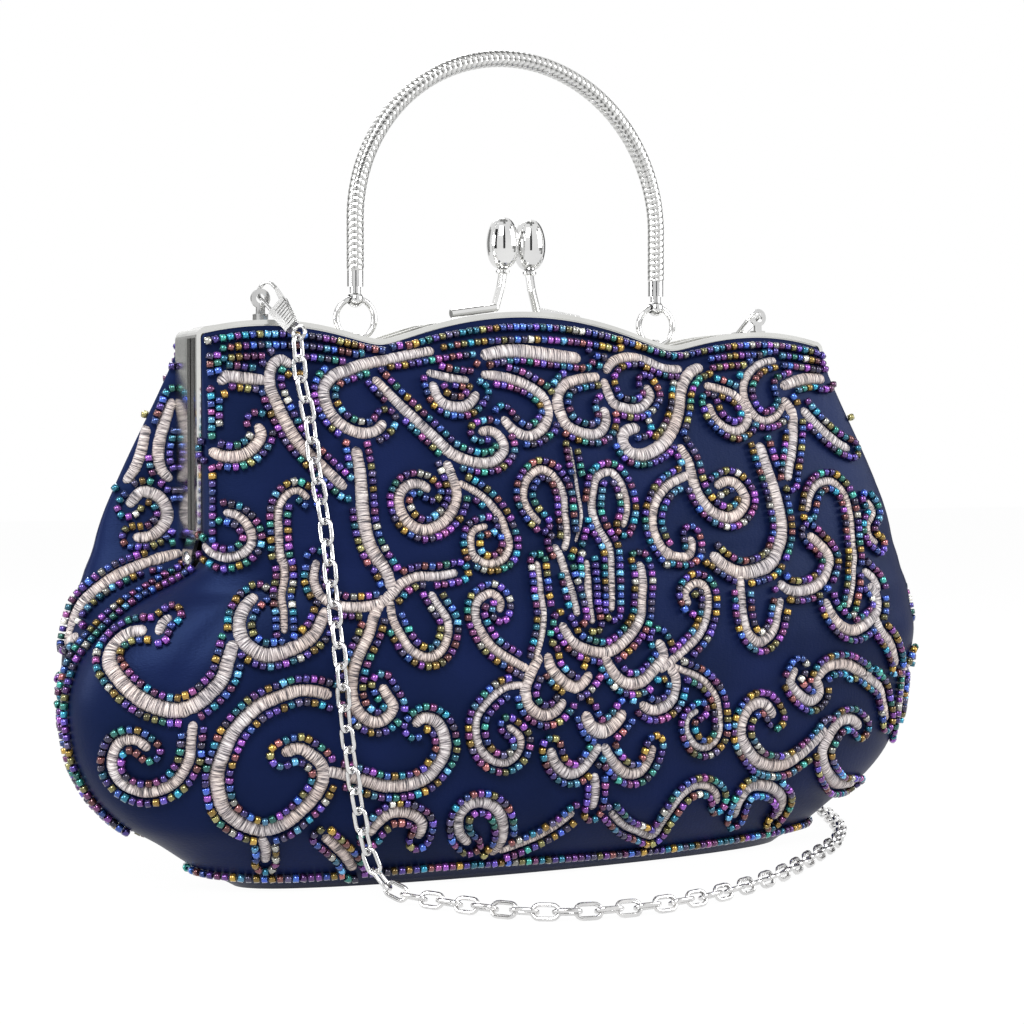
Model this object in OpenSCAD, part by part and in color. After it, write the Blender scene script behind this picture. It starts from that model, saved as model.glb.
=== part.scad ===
// Evening clutch: a beaded satin pouch on a wavy kiss-lock frame, with an arched
// snake-chain handle and a cable-chain shoulder strap on two snap hooks.
// Millimetres. +Z is up, the front faces -Y, and the origin is the middle of the base.

/* [Frame] */
// Width of the closed frame
frame_w = 202; // [196:1:208]
// Depth of one frame half, from the mating face to the outside
frame_d = 10; // [9:0.5:11]
// Height of the frame's middle peak
frame_peak_z = 162; // [160:0.5:164]
// Height of the two side humps
frame_hump_z = 157.7; // [156:0.1:159]
// Height of the two dips that the handle rings stand in
frame_dip_z = 153.2; // [152.4:0.1:154]
// Sheet thickness of the frame
frame_wall = 1.2; // [1:0.1:1.4]
// Outer radius of the frame's top corners
frame_corner_r = 3; // [2.6:0.1:3.6]
// Depth of the channel that runs along the frame between its two edges
channel_depth = 1; // [0.8:0.1:1.1]
// How far the hidden sewing flange reaches in from the outside
flange_reach = 9; // [7:0.5:11]
// Thickness of the sewing flange
flange_t = 1; // [0.8:0.1:1.2]
// Gap between the two closed halves
halves_gap = 0.1; // [0.06:0.02:0.2]

/* [Hinge] */
// Height of the hinge axis
hinge_z = 91.5; // [89:0.5:94]
// Radius of the round ears at the hinge
ear_r = 4.5; // [4:0.1:5]
// Running gap between the two ears of a hinge
ear_gap = 0.15; // [0.1:0.05:0.2]
// Diameter of the hinge rivet's shank
rivet_d = 2.4; // [2:0.1:3]
// Diameter of the rivet's domed head
rivet_head_d = 5; // [4.4:0.1:5.6]
// Height of the rivet's domed head
rivet_head_h = 1.1; // [0.8:0.1:1.4]
// Radial running fit of the front ear on the rivet
hinge_fit = 0.05; // [0.03:0.01:0.08]

/* [Pouch] */
// Width of the pouch at its belly
belly_w = 270; // [262:1:278]
// Depth of the pouch at its belly
belly_d = 72; // [68:1:78]
// Thickness of the satin panels with their padding
panel_t = 1.6; // [1.4:0.1:1.8]
// Thickness of the lining cloth
lining_t = 0.8; // [0.6:0.1:1]
// Thickness of the stiffening board in the base
board_t = 1.2; // [1:0.1:1.4]
// Clearance between neighbouring layers of cloth and metal
cloth_gap = 0.15; // [0.12:0.01:0.18]

/* [Knobs] */
// Diameter of each egg-shaped knob
knob_d = 9.6; // [9:0.1:9.8]
// Height of each egg-shaped knob
knob_h = 15.1; // [14:0.1:16]
// Height of the lower end of the knobs
knob_z = 175; // [173:0.5:177]
// Sideways distance between the two knobs' axes
knob_pitch = 9.9; // [9.8:0.1:11]
// Distance between the knobs' axes from front to back
knob_stagger = 2.4; // [2:0.1:3]
// Diameter of the wire posts
post_d = 2.5; // [2.2:0.1:2.6]
// Length of the post's foot along the frame
foot_len = 14; // [12:0.5:16]
// Diameter of the bead-shaped collar under each knob
collar_d = 4.1; // [3.8:0.1:4.4]
// Height of the collar
collar_h = 1.5; // [1.2:0.1:1.8]

/* [Handle] */
// Distance between the centres of the handle's two ends
handle_span = 98.6; // [96:0.2:101]
// Height of the top of the handle
handle_top_z = 240; // [236:1:244]
// Diameter of the snake chain
snake_d = 5; // [4.8:0.1:5.2]
// Diameter of the steel core inside the snake chain
core_d = 2.2; // [2:0.1:2.6]
// How far the handle's plane lies behind the mating face
handle_y = 4; // [3.6:0.1:4.6]
// Outside diameter of the round rings
ring_d = 13.5; // [13:0.1:14]
// Wire diameter of the round rings
ring_wire = 1.75; // [1.6:0.05:1.9]
// Diameter of the ball-shaped eyelets
ball_d = 4.7; // [4.5:0.1:5]
// Diameter of the hole through each ball
ball_hole_d = 2.9; // [2.7:0.1:3]
// Length of the ferrules
ferrule_len = 4.5; // [4:0.1:5]

/* [Strap lugs and hooks] */
// Diameter of the round lugs that the hooks clip into
lug_d = 5.5; // [5.3:0.1:5.8]
// Diameter of the hole through each lug
lug_hole_d = 2.7; // [2.6:0.05:2.8]
// Thickness of each lug
lug_t = 0.9; // [0.8:0.05:1]
// Height of the lug hole above the frame's outer edge
lug_rise = 6.1; // [6:0.1:6.4]
// Wire diameter of the snap hooks
hook_wire = 1.1; // [1:0.05:1.15]
// Length of the ribbed sleeve of a snap hook
sleeve_len = 9.3; // [8.5:0.1:9.6]
// Thickness of the ribbed sleeve
sleeve_t = 2.4; // [2.2:0.1:2.5]

/* [Strap chain] */
// Wire diameter of the chain links
link_wire = 1.2; // [1.1:0.05:1.25]
// Outside length of a link
link_l = 8.2; // [8.15:0.05:8.3]
// Outside width of a link
link_w = 4.9; // [4.7:0.1:5]
// Wanted distance from one link to the next
link_pitch = 5.66; // [5.64:0.01:5.68]

/* [Hidden] */
$fn = 32;

silver = [0.80, 0.80, 0.79];
navy = [0.04, 0.07, 0.22];
dark_lining = [0.06, 0.06, 0.09];
card = [0.55, 0.48, 0.38];

// One overrun serves every cut
over = 1;

// Frame: the top edge is three arches, and each dip is a soft valley between two
frame_half = frame_w / 2;
dip_x_share = 0.465;
hump_x_share = 0.782;
dip_soft = 2;
valley_z = frame_dip_z - dip_soft;
dip_x = frame_half * dip_x_share;
hump_x = frame_half * hump_x_share;
peak_bend = (frame_peak_z - valley_z) / pow(dip_x, 2);
hump_bend = (frame_hump_z - valley_z) / pow(hump_x - dip_x, 2);
web_inset = channel_depth + frame_wall;
flange_y = frame_d - panel_t - cloth_gap;
least_corner_r = 0.5;
top_steps = 96;
corner_steps = 6;
leg_end_z = hinge_z + ear_r + frame_wall + cloth_gap;
channel_end_z = leg_end_z + 2 * frame_wall;
pad_half = knob_pitch / 2 + foot_len + 4 * post_d;

// Hinge ears: the front ear lies outside and the rear ear lies inside it
ear_t = frame_wall;
inner_ear_x = frame_half - frame_wall - ear_t;

// Knobs: a blunt egg, round at both ends and fullest just below its middle
egg_low_share = 0.94;
egg_full_share = 0.34;

// Knob posts: the foot lies on the flat middle of the frame
post_y = frame_d / 2;
foot_end_x = knob_pitch / 2 + 1.7 * post_d + foot_len;
foot_bend_x = foot_end_x - foot_len;
knuckle_share = 1.04;

// Handle: an arch on two straight ends
leg_x = handle_span / 2;
snake_r = snake_d / 2;
arch_steps = 96;
arch_z = handle_top_z - snake_r - leg_x;
ring_r = (ring_d - ring_wire) / 2;
seat_gap = 0.05;
staple_gap = 0.25;
staple_lift = 0.07;
staple_bore_d = ring_wire + 2 * staple_gap;
staple_wall = 0.75;
staple_w = 1.6;
staple_z = floor_top(leg_x, staple_w) + staple_bore_d / 2 + staple_lift;
ring_z = staple_z + ring_r;
ball_z = ring_z + ring_r;
ball_lift = 0.35;
neck_d = 3.2;
neck_len = 1.3;
ferrule_d = 4.7;
ferrule_z = ball_z + ball_d / 2 + neck_len - ball_lift;
arch_end_z = ferrule_z + ferrule_len;
core_seat = ferrule_len * 2 / 3;
core_gap = 0.05;

// Strap lugs
left_lug_share = 0.802;
right_lug_share = 0.8694;
right_lug_y_share = 0.7;
left_lug_x = -frame_half * left_lug_share;
right_lug_x = frame_half * right_lug_share;
left_lug_y = -frame_d / 2;
right_lug_y = frame_d * right_lug_y_share;
lug_base_w = 3.4;
lug_base_h = 1.7;
lug_neck_w = 2.4;
lug_shank_d = 1.6;
left_lug_hole = [left_lug_x, left_lug_y, edge_z(left_lug_x) + lug_rise];
right_lug_hole = [right_lug_x, right_lug_y, edge_z(right_lug_x) + lug_rise];

// Snap hooks, each drawn in its own plane: x runs across the hook, z runs up to its bend
hook_r = 2.6;
hook_tip = 2;
sleeve_top = 6.9;
sleeve_bottom = sleeve_top + sleeve_len;
sleeve_lip = 0.9;
sleeve_far_top = 2.6;
sleeve_far_bottom = 0.2;
rib_n = 7;
rib_depth = 0.22;
rib_share = 0.45;
gate_t = 1;
gate_w = 0.9;
gate_slot = gate_t + 2 * cloth_gap;
gate_pin_d = 0.8;
gate_pin_fit = 0.05;
gate_pivot_x = 1.5;
gate_pivot_drop = 1.1;
gate_pivot = [gate_pivot_x, -sleeve_top - gate_pivot_drop];
gate_slot_drop = 1.6 * gate_w;
gate_gap = 0.5;
eye_wire = 1.1;
eye_r = 1.95;
eye_x = -1.4;
eye_stem_d = 1.2;
eye_stem_len = 1.7;
eye_seat = 1.4;
eye_fit = 0.05;
eye_z = -sleeve_bottom - eye_stem_len - eye_r + eye_wire / 2;
left_run = unit([0.27, -0.77, -0.58]);
left_across = square_to([0.52, -0.36, 0.78], left_run);
right_run = unit([-0.10, 0.79, -0.61]);
right_across = square_to([0.92, 0.27, 0.20], right_run);
left_shift = [0, 0.2, 0.1];
right_shift = [0, 0.1, -0.2];
left_hook_at = left_lug_hole + left_shift + hook_r * left_across;
right_hook_at = right_lug_hole + right_shift - hook_r * right_across;

// Strap chain: route of its middle line, then the turn about that line in degrees.
// It hangs down the front, lies round the right end and rises behind to the right hook.
strap_route = [
    [-75.7, -20.4, 152.4, 0], [-75, -21, 141, 0], [-73, -22, 131, 0], [-72, -24, 117, 0],
    [-70.5, -27, 103, 0], [-70, -30, 89, 0], [-69.5, -33, 75, 0], [-69, -36, 62, 0],
    [-68.5, -37, 50, 0], [-67, -37.5, 38, 0], [-65, -37.5, 26, 0], [-62.5, -38, 14, -8],
    [-60, -40.5, 6.8, -15], [-56.5, -45.5, 3.2, -22], [-50, -54.5, 2.4, -30], [-39, -72, 2.4, -30],
    [-28, -81, 2.4, -30], [-13, -85, 2.4, -30], [6, -84, 2.4, -30], [25, -78, 2.4, -30],
    [48, -66, 2.4, -30], [69, -50, 2.4, -30], [94, -28, 2.4, -30], [108, -10, 2.4, -30],
    [119, 12, 2.4, -30], [124, 26, 2.4, -30], [122, 39, 2.4, -30], [113, 47, 2.4, -30],
    [101, 48, 2.4, -30], [92, 44.8, 3.4, -24], [87, 41.5, 8.6, -16], [85, 39, 17, -8],
    [84, 38, 30, 0], [83.5, 37.5, 44, 0], [83, 36, 58, 0], [82.5, 33, 73, 0],
    [82, 30, 88, 0], [82, 27, 102, 0], [81.5, 24.5, 116, 0], [81, 23, 130, 0],
    [81.4, 22.5, 150, 0]
];
route_steps = 8;
first_side = [-0.83, -0.56, 0];
front_end_z = 4;

// Pouch: each row gives a place on the panel's height (0 is the base, 1 the hinge and
// 2 the frame) and shares of the way out from the frame to the belly there: of the
// panel's edge, of its fullest width on the billowed side, and of its depth.
panel_shares = [
    [0, -0.33, -0.33, 0.385], [0.035, -0.13, -0.13, 0.50], [0.08, 0.05, 0.05, 0.63],
    [0.14, 0.27, 0.27, 0.76], [0.22, 0.60, 0.60, 0.885], [0.32, 0.83, 0.83, 0.95],
    [0.44, 0.96, 0.96, 1], [0.57, 1, 1, 0.985], [0.69, 0.93, 0.955, 0.95],
    [0.79, 0.73, 0.90, 0.90], [0.87, 0.48, 0.86, 0.85], [0.93, 0.20, 0.79, 0.80],
    [0.975, 0.04, 0.75, 0.755], [1, 0, 0.72, 0.73], [1.06, 0, 0.68, 0.70],
    [1.12, 0, 0.65, 0.665], [1.22, 0, 0.585, 0.61], [1.34, 0, 0.49, 0.54],
    [1.48, 0, 0.38, 0.455], [1.62, 0, 0.27, 0.36], [1.76, 0, 0.16, 0.25],
    [1.88, 0, 0.07, 0.14], [1.96, 0, 0.02, 0.04], [2, 0, 0, 0]
];
round_share = 0.8;
billow_share = 0.35;
wave_share = 0.75;
panel_cols = 48;
panel_inset = frame_wall + cloth_gap;
panel_top_inset = panel_inset + 2 * cloth_gap;
panel_edge_x = frame_half - panel_inset;
lining_inset = web_inset + 5 * cloth_gap;
lining_in = panel_t + flange_t + 2 * cloth_gap;
pocket_in = lining_in + lining_t + 3 * cloth_gap;
seam_gap = 2 * cloth_gap;
lining_free_v = 0.9;
pinch_share = (frame_wall - 1.5 * cloth_gap) / panel_t;
roll_lift = 1.5 * cloth_gap;
roll_share = 2 / panel_cols;
tuck_v = 1.88;
tuck_share = 0.1;
tuck_x = frame_half - flange_reach - 2 * cloth_gap;
seam_drop = 4;
lining_cols = 20;
lining_rows = [1, 3, 4, 5, 6, 7, 8, 9, 10, 11, 13, 15, 17, 19, 21, 23];
all_rows = [for (i = [0:len(panel_shares) - 1]) i];
base_t = panel_t;
floor_row = 1;
pocket_rows = [6, 7, 8, 9, 10, 11, 13];
pocket_cols = 12;
pocket_side_share = 0.45;
pocket_t = 0.6;

function unit(v) = v / norm(v);
function square_to(v, t) = unit(v - (v * t) * t);

// Top of the channel floor under a foot w wide at x
function floor_top(x, w) =
    max([for (s = [-1, 0, 1]) edge_z(x + s * w / 2)]) - channel_depth + seat_gap;

// Frame edge: height at x, then the same edge set in by d with round corners
function arch_top(x) = frame_peak_z - peak_bend * pow(x, 2);
function arch_side(x) = frame_hump_z - hump_bend * pow(abs(x) - hump_x, 2);
function edge_z(x) =
    let (a = arch_top(x), b = arch_side(x))
    (a + b) / 2 + sqrt(pow((a - b) / 2, 2) + pow(dip_soft, 2));
function corner_r(d) = max(frame_corner_r - d, least_corner_r);
function corner_x(d) = frame_half - d - corner_r(d);
function corner_z(d) = edge_z(corner_x(d)) - d - corner_r(d);
function inset_z(x, d) =
    abs(x) <= corner_x(d) ? edge_z(x) - d
    : corner_z(d) + sqrt(max(0, pow(corner_r(d), 2) - pow(abs(x) - corner_x(d), 2)));

// The edge line from one leg's end to the other, set in by d
function edge_line(d, end_z) = concat(
    [[-(frame_half - d), end_z]],
    [for (i = [0:corner_steps - 1]) let (a = 180 - 90 * i / corner_steps)
        [-corner_x(d) + corner_r(d) * cos(a), corner_z(d) + corner_r(d) * sin(a)]],
    [for (i = [0:top_steps]) let (x = corner_x(d) * (2 * i / top_steps - 1))
        [x, edge_z(x) - d]],
    [for (i = [corner_steps - 1:-1:0]) let (a = 90 * i / corner_steps)
        [corner_x(d) + corner_r(d) * cos(a), corner_z(d) + corner_r(d) * sin(a)]],
    [[frame_half - d, end_z]]
);
function reversed(p) = [for (i = [len(p) - 1:-1:0]) p[i]];

// Pouch surface: height of a row, its edge, fullest width and depth, set in by s.
// Within the frame the lining lies flat behind the flange and is free only inside it.
function row_z(v) = v <= 1 ? v * hinge_z
    : hinge_z + (v - 1) * (frame_dip_z - panel_inset - hinge_z);
function seam_open(z) =
    let (t = (z - (hinge_z - ear_r - seam_drop)) / (2 * ear_r + 1.5 * seam_drop))
    sin(90 * min(max(t, 0), 1));
function edge_y(z) = seam_gap / 2 + (frame_d - seam_gap / 2) * seam_open(z);
function below_hinge(v) = v < 1 ? 1 : 0;
function out_to(share) = panel_edge_x + (belly_w / 2 - panel_edge_x) * share;
function depth_at(share) = frame_d + (belly_d / 2 - frame_d) * share;

// A point of the front panel: u runs from -1 at the left edge to 1 at the right one
function pouch_point(row, u, s, top_inset) =
    let (
        v = row[0],
        z = row_z(v),
        closed = below_hinge(v),
        lined = s > panel_t && v > lining_free_v,
        tucked = lined && v >= 1,
        billow = u > 0 && !lined && row[2] > row[1],
        rolled = billow && closed == 0,
        edge_in = closed > 0 || rolled ? s : max(0, s - panel_t),
        ex = lined ? panel_edge_x - (s - panel_t) : out_to(row[1]) - edge_in,
        edge_s = s > panel_t ? s : s * pinch_share,
        seam_y = max(edge_y(z) - edge_s * (1 - closed), seam_gap / 2),
        wide = billow ? out_to(row[2]) - s : ex,
        rolled_y = max(seam_y, edge_y(z) + roll_lift + s),
        ey = rolled ? rolled_y : seam_y,
        yc = tucked && v >= tuck_v ? ey : max(depth_at(row[3]) - s, ey),
        ym = billow ? ey + (yc - ey) * billow_share : ey,
        last = 180 - asin(min(ex / wide, 1)),
        roll_u = rolled ? 1 - roll_share : 1,
        a = min(abs(u) / roll_u, 1) * (billow ? last : 90),
        free_u = 1 - tuck_share,
        free_x = tuck_x - (s - lining_in),
        free_a = 90 * min(abs(u) / free_u, 1),
        flat_u = max(0, abs(u) - free_u) / tuck_share,
        x = sign(u) * (tucked ? free_x * sin(free_a) + (ex - free_x) * flat_u : wide * sin(a)),
        y = rolled && u > roll_u ? seam_y + (rolled_y - seam_y) * (1 - u) / roll_share
            : tucked ? ey + (yc - ey) * pow(max(0, cos(free_a)), round_share)
            : a <= 90 ? ym + (yc - ym) * pow(cos(a), round_share)
            : ym + (ey - ym) * cos(a) / cos(last),
        lift = max(0, (v - wave_share * 2) / (2 - wave_share * 2)),
        rise = inset_z(x, top_inset) - row_z(2)
    )
    [x, -y, z + rise * lift * lift];

// A closed cloth shell between two depths below the pouch's surface
module cloth(rows, cols, s0, s1, top_inset, u0 = -1, u1 = 1) {
    n = len(rows);
    m = cols + 1;
    points = [
        for (s = [s0, s1]) for (i = [0:n - 1]) for (j = [0:cols])
            pouch_point(panel_shares[rows[i]], u0 + (u1 - u0) * j / cols, s, top_inset)
    ];
    back = n * m;
    outside = [
        for (i = [0:n - 2]) for (j = [0:cols - 1]) let (k = i * m + j)
            each [[k, k + m, k + 1], [k + 1, k + m, k + m + 1]]
    ];
    inside = [for (f = outside) [f[0] + back, f[2] + back, f[1] + back]];
    low = [for (j = [0:cols - 1]) each [[j, j + 1, j + back], [j + 1, j + 1 + back, j + back]]];
    top = (n - 1) * m;
    high = [
        for (j = [0:cols - 1]) let (k = top + j)
            each [[k, k + back, k + 1], [k + 1, k + back, k + 1 + back]]
    ];
    left = [
        for (i = [0:n - 2]) let (k = i * m)
            each [[k, k + back, k + m], [k + m, k + back, k + m + back]]
    ];
    right = [
        for (i = [0:n - 2]) let (k = i * m + cols)
            each [[k, k + m, k + back], [k + m, k + m + back, k + back]]
    ];
    polyhedron(points, concat(outside, inside, low, high, left, right));
}

// Places children with z along t and x along the side direction
function placed(o, side, t) =
    let (y = cross(t, side))
    [[side[0], y[0], t[0], o[0]], [side[1], y[1], t[1], o[1]], [side[2], y[2], t[2], o[2]],
     [0, 0, 0, 1]];
function any_side(t) = unit(cross(t, abs(t[2]) < 0.9 ? [0, 0, 1] : [1, 0, 0]));

module rod(p, q, d) {
    t = unit(q - p);
    multmatrix(placed(p, any_side(t), t)) cylinder(d = d, h = norm(q - p));
}

// A flat strip of the frame's outline between two insets, over a stretch of y
module frame_band(d0, d1, y0, y1, end_z) {
    line = concat(edge_line(d0, end_z), reversed(edge_line(d1, end_z)));
    translate([0, y1, 0]) rotate([90, 0, 0]) linear_extrude(y1 - y0) polygon(line);
}

// The channel along the top edge, open upwards, from x0 to x1
module top_channel(x0, x1) {
    steps = top_steps / 2;
    low = [for (i = [0:steps]) let (x = x0 + (x1 - x0) * i / steps)
        [x, edge_z(x) - channel_depth]];
    high = [[x1, frame_peak_z + over], [x0, frame_peak_z + over]];
    translate([0, frame_d - frame_wall, 0]) rotate([90, 0, 0])
        linear_extrude(frame_d - 2 * frame_wall) polygon(concat(low, high));
}

// One frame half without its ears, drawn on the +Y side
module frame_half_shell() {
    y0 = halves_gap / 2;
    frame_band(0, frame_wall, y0, frame_d, leg_end_z);
    frame_band(channel_depth, web_inset, y0, frame_d - frame_wall, leg_end_z);
    frame_band(frame_wall, flange_reach, flange_y - flange_t, flange_y, channel_end_z);
}

module channels() {
    for (s = [-1, 1]) {
        x0 = s > 0 ? pad_half : -corner_x(0);
        x1 = s > 0 ? corner_x(0) : -pad_half;
        top_channel(x0, x1);
    }
}

// Channel down a leg, between the leg's two edges
module leg_channel(s) {
    x = s * (frame_half - channel_depth + over / 2 + channel_depth / 2);
    z1 = corner_z(0);
    translate([x, frame_d / 2, (channel_end_z + z1) / 2])
        cube([channel_depth + over, frame_d - 2 * frame_wall, z1 - channel_end_z], center = true);
}

// Bores through the frame's top for a lug's shank
module shank_bore(x, y) {
    translate([x, y, edge_z(x) - web_inset - over])
        cylinder(d = lug_shank_d, h = web_inset + 2 * over);
}

// Hinge ear: a disc on the axis with a strap up into its leg; shape in y and z
module ear_plate(thick, strap) {
    rotate([90, 0, 90]) linear_extrude(thick) {
        translate([0, hinge_z]) circle(r = ear_r);
        polygon(strap);
    }
}

module rear_frame() color(silver) {
    strap = [
        [-ear_r * 0.72, hinge_z + ear_r * 0.69], [ear_r, hinge_z],
        [frame_d - frame_wall, leg_end_z], [frame_d - frame_wall, channel_end_z],
        [halves_gap, channel_end_z], [halves_gap, leg_end_z - frame_wall]
    ];
    difference() {
        union() {
            difference() {
                frame_half_shell();
                channels();
            }
            for (s = [-1, 1])
                translate([s > 0 ? inner_ear_x : -inner_ear_x - ear_t, 0, 0])
                    ear_plate(ear_t, strap);
        }
        translate([-frame_half - over, 0, hinge_z]) rotate([0, 90, 0])
            cylinder(d = rivet_d, h = frame_w + 2 * over);
        shank_bore(right_lug_x, right_lug_y);
    }
}

module front_frame() color(silver) {
    strap = [
        [ear_r * 0.72, hinge_z + ear_r * 0.69], [-halves_gap, leg_end_z],
        [-halves_gap, channel_end_z], [-frame_d, channel_end_z],
        [-frame_d, leg_end_z + frame_wall], [-ear_r * 0.95, hinge_z + ear_r * 0.3]
    ];
    outer_t = frame_wall - ear_gap;
    difference() {
        union() {
            mirror([0, 1, 0]) difference() {
                frame_half_shell();
                channels();
                for (s = [-1, 1]) leg_channel(s);
            }
            for (s = [-1, 1])
                translate([s > 0 ? frame_half - outer_t : -frame_half, 0, 0])
                    ear_plate(outer_t, strap);
        }
        translate([-frame_half - over, 0, hinge_z]) rotate([0, 90, 0])
            cylinder(d = rivet_d + 2 * hinge_fit, h = frame_w + 2 * over);
        shank_bore(left_lug_x, left_lug_y);
    }
}

// Rivet: domed head outside, shank through both ears, flat tail inside
module hinge_rivet(s) color(silver) {
    head_x = frame_half + hinge_fit;
    tail_t = frame_wall / 2;
    dome_r = (pow(rivet_head_d / 2, 2) + pow(rivet_head_h, 2)) / (2 * rivet_head_h);
    translate([0, 0, hinge_z]) rotate([0, s * 90, 0]) {
        translate([0, 0, inner_ear_x]) cylinder(d = rivet_d, h = head_x - inner_ear_x);
        translate([0, 0, inner_ear_x - tail_t]) cylinder(d = 1.6 * rivet_d, h = tail_t);
        translate([0, 0, head_x]) intersection() {
            translate([0, 0, rivet_head_h - dome_r]) sphere(r = dome_r);
            cylinder(d = rivet_head_d + over, h = rivet_head_h + over);
        }
    }
}
module left_hinge_rivet() hinge_rivet(-1);
module right_hinge_rivet() hinge_rivet(1);

// Egg-shaped knob turned about its own axis, drawn for the front half at the left
function egg_r(t) = knob_d / 2 * pow(sin(180 * pow(t, egg_low_share)), egg_full_share);
module knob() color(silver) {
    steps = 24;
    outline = concat(
        [[0, 0]],
        [for (i = [1:steps - 1]) let (t = (1 - cos(180 * i / steps)) / 2)
            [egg_r(t), knob_h * t]],
        [[0, knob_h]]
    );
    translate([-knob_pitch / 2, -knob_stagger / 2, knob_z])
        rotate_extrude($fn = 48) polygon(outline);
}

// Wire post with its foot on the frame, bent up to the collar under the knob
module knob_post() color(silver) {
    lie = post_d / 2 + peak_bend * pow(foot_len / 2, 2) + cloth_gap;
    a = [-foot_end_x, -post_y, edge_z(foot_end_x) + lie];
    b = [-foot_bend_x, -post_y, edge_z(foot_bend_x) + lie];
    top = [-knob_pitch / 2, -knob_stagger / 2, knob_z - collar_h];
    c = [-knob_pitch / 2 - post_d / 2, -knob_stagger, knob_z - 2.2 * post_d];
    rod(a, b, post_d);
    rod(b, c, post_d);
    rod(c, top + unit(top - c) * collar_h / 2, post_d);
    for (corner = [b, c]) translate(corner) sphere(d = post_d * knuckle_share);
    collar_r = collar_d / 2;
    translate(top) rotate_extrude() polygon([
        [0, 0], [collar_r * 0.75, 0], [collar_r, collar_h * 0.3], [collar_r, collar_h * 0.7],
        [collar_r * 0.75, collar_h], [0, collar_h]
    ]);
}
module front_knob() knob();
module rear_knob() rotate([0, 0, 180]) knob();
module front_knob_post() knob_post();
module rear_knob_post() rotate([0, 0, 180]) knob_post();

// Lug: a stepped foot in the channel, a round eye on top and a shank riveted through
module strap_lug(x, y) color(silver) {
    z0 = floor_top(x, lug_base_w);
    z1 = edge_z(x) + lug_rise;
    translate([x, y, 0]) {
        translate([-lug_base_w / 2, -lug_base_w / 2, z0])
            cube([lug_base_w, lug_base_w, lug_base_h + channel_depth]);
        difference() {
            union() {
                translate([-lug_neck_w / 2, -lug_t / 2, z0 + lug_base_h])
                    cube([lug_neck_w, lug_t, z1 - z0 - lug_base_h - lug_hole_d / 2]);
                translate([0, lug_t / 2, z1]) rotate([90, 0, 0])
                    cylinder(d = lug_d, h = lug_t);
            }
            translate([0, lug_t, z1]) rotate([90, 0, 0])
                cylinder(d = lug_hole_d, h = 2 * lug_t);
        }
        translate([0, 0, z0 - frame_wall])
            cylinder(d = lug_shank_d - 2 * seat_gap, h = frame_wall + lug_base_h);
    }
}
module left_strap_lug() strap_lug(left_lug_x, left_lug_y);
module right_strap_lug() strap_lug(right_lug_x, right_lug_y);

// Low staple in the channel that holds a ring's lowest point
module ring_staple(s) color(silver) {
    z0 = floor_top(leg_x, staple_w);
    w = staple_bore_d + 2 * staple_wall;
    translate([s * leg_x, handle_y, 0]) difference() {
        union() {
            translate([-staple_w / 2, -w / 2, z0]) cube([staple_w, w, staple_z - z0]);
            translate([-staple_w / 2, 0, staple_z]) rotate([0, 90, 0])
                cylinder(d = w, h = staple_w);
        }
        translate([-staple_w, 0, staple_z]) rotate([0, 90, 0])
            cylinder(d = staple_bore_d, h = 2 * staple_w);
        translate([-staple_w, -w, z0 - w]) cube([2 * staple_w, 2 * w, w]);
    }
}
module left_ring_staple() ring_staple(-1);
module right_ring_staple() ring_staple(1);

module wire_ring(s) color(silver)
    translate([s * leg_x, handle_y, ring_z]) rotate([90, 0, 0])
        rotate_extrude() translate([ring_r, 0]) circle(d = ring_wire);
module left_ring() wire_ring(-1);
module right_ring() wire_ring(1);

// Eyelet: a ball on the ring, bored sideways, with a neck up into the ferrule
module eyelet(s) color(silver)
    translate([s * leg_x, handle_y, 0]) difference() {
        union() {
            translate([0, 0, ball_z - ball_lift]) sphere(d = ball_d);
            translate([0, 0, ball_z]) cylinder(d = neck_d, h = ferrule_z - ball_z);
        }
        translate([-ball_d, 0, ball_z - ball_lift]) rotate([0, 90, 0])
            cylinder(d = ball_hole_d, h = 2 * ball_d);
    }
module left_eyelet() eyelet(-1);
module right_eyelet() eyelet(1);

module ferrule(s) color(silver)
    translate([s * leg_x, handle_y, ferrule_z]) difference() {
        cylinder(d = ferrule_d, h = ferrule_len);
        translate([0, 0, ferrule_len - core_seat])
            cylinder(d = core_d + 2 * core_gap, h = core_seat + over);
    }
module left_ferrule() ferrule(-1);
module right_ferrule() ferrule(1);

// The arch: a half circle on two straight legs, drawn from a round outline of its middle
module arch_of(tail) translate([0, handle_y, 0]) {
    translate([0, 0, arch_z]) rotate([90, 0, 0]) rotate_extrude(angle = 180, $fn = arch_steps)
        translate([leg_x, 0]) children();
    for (s = [-1, 1]) translate([s * leg_x, 0, arch_end_z - tail])
        linear_extrude(arch_z - arch_end_z + tail) children();
}
module snake_chain() color(silver) arch_of(0) difference() {
    circle(d = snake_d);
    circle(d = core_d + 2 * core_gap);
}
module handle_core() color("gray") arch_of(core_seat - core_gap) circle(d = core_d);

// Snap hook parts, each in the hook's own plane
module at_hook(o, run, across) multmatrix(placed(o, across, -run)) children();

module hook_wire_shape() {
    rotate([90, 0, 0]) rotate_extrude(angle = 180) translate([hook_r, 0]) circle(d = hook_wire);
    translate([hook_r, 0, -hook_tip]) cylinder(d = hook_wire, h = hook_tip);
    translate([-hook_r, 0, -sleeve_bottom + sleeve_lip])
        cylinder(d = hook_wire, h = sleeve_bottom - sleeve_lip);
}

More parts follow.
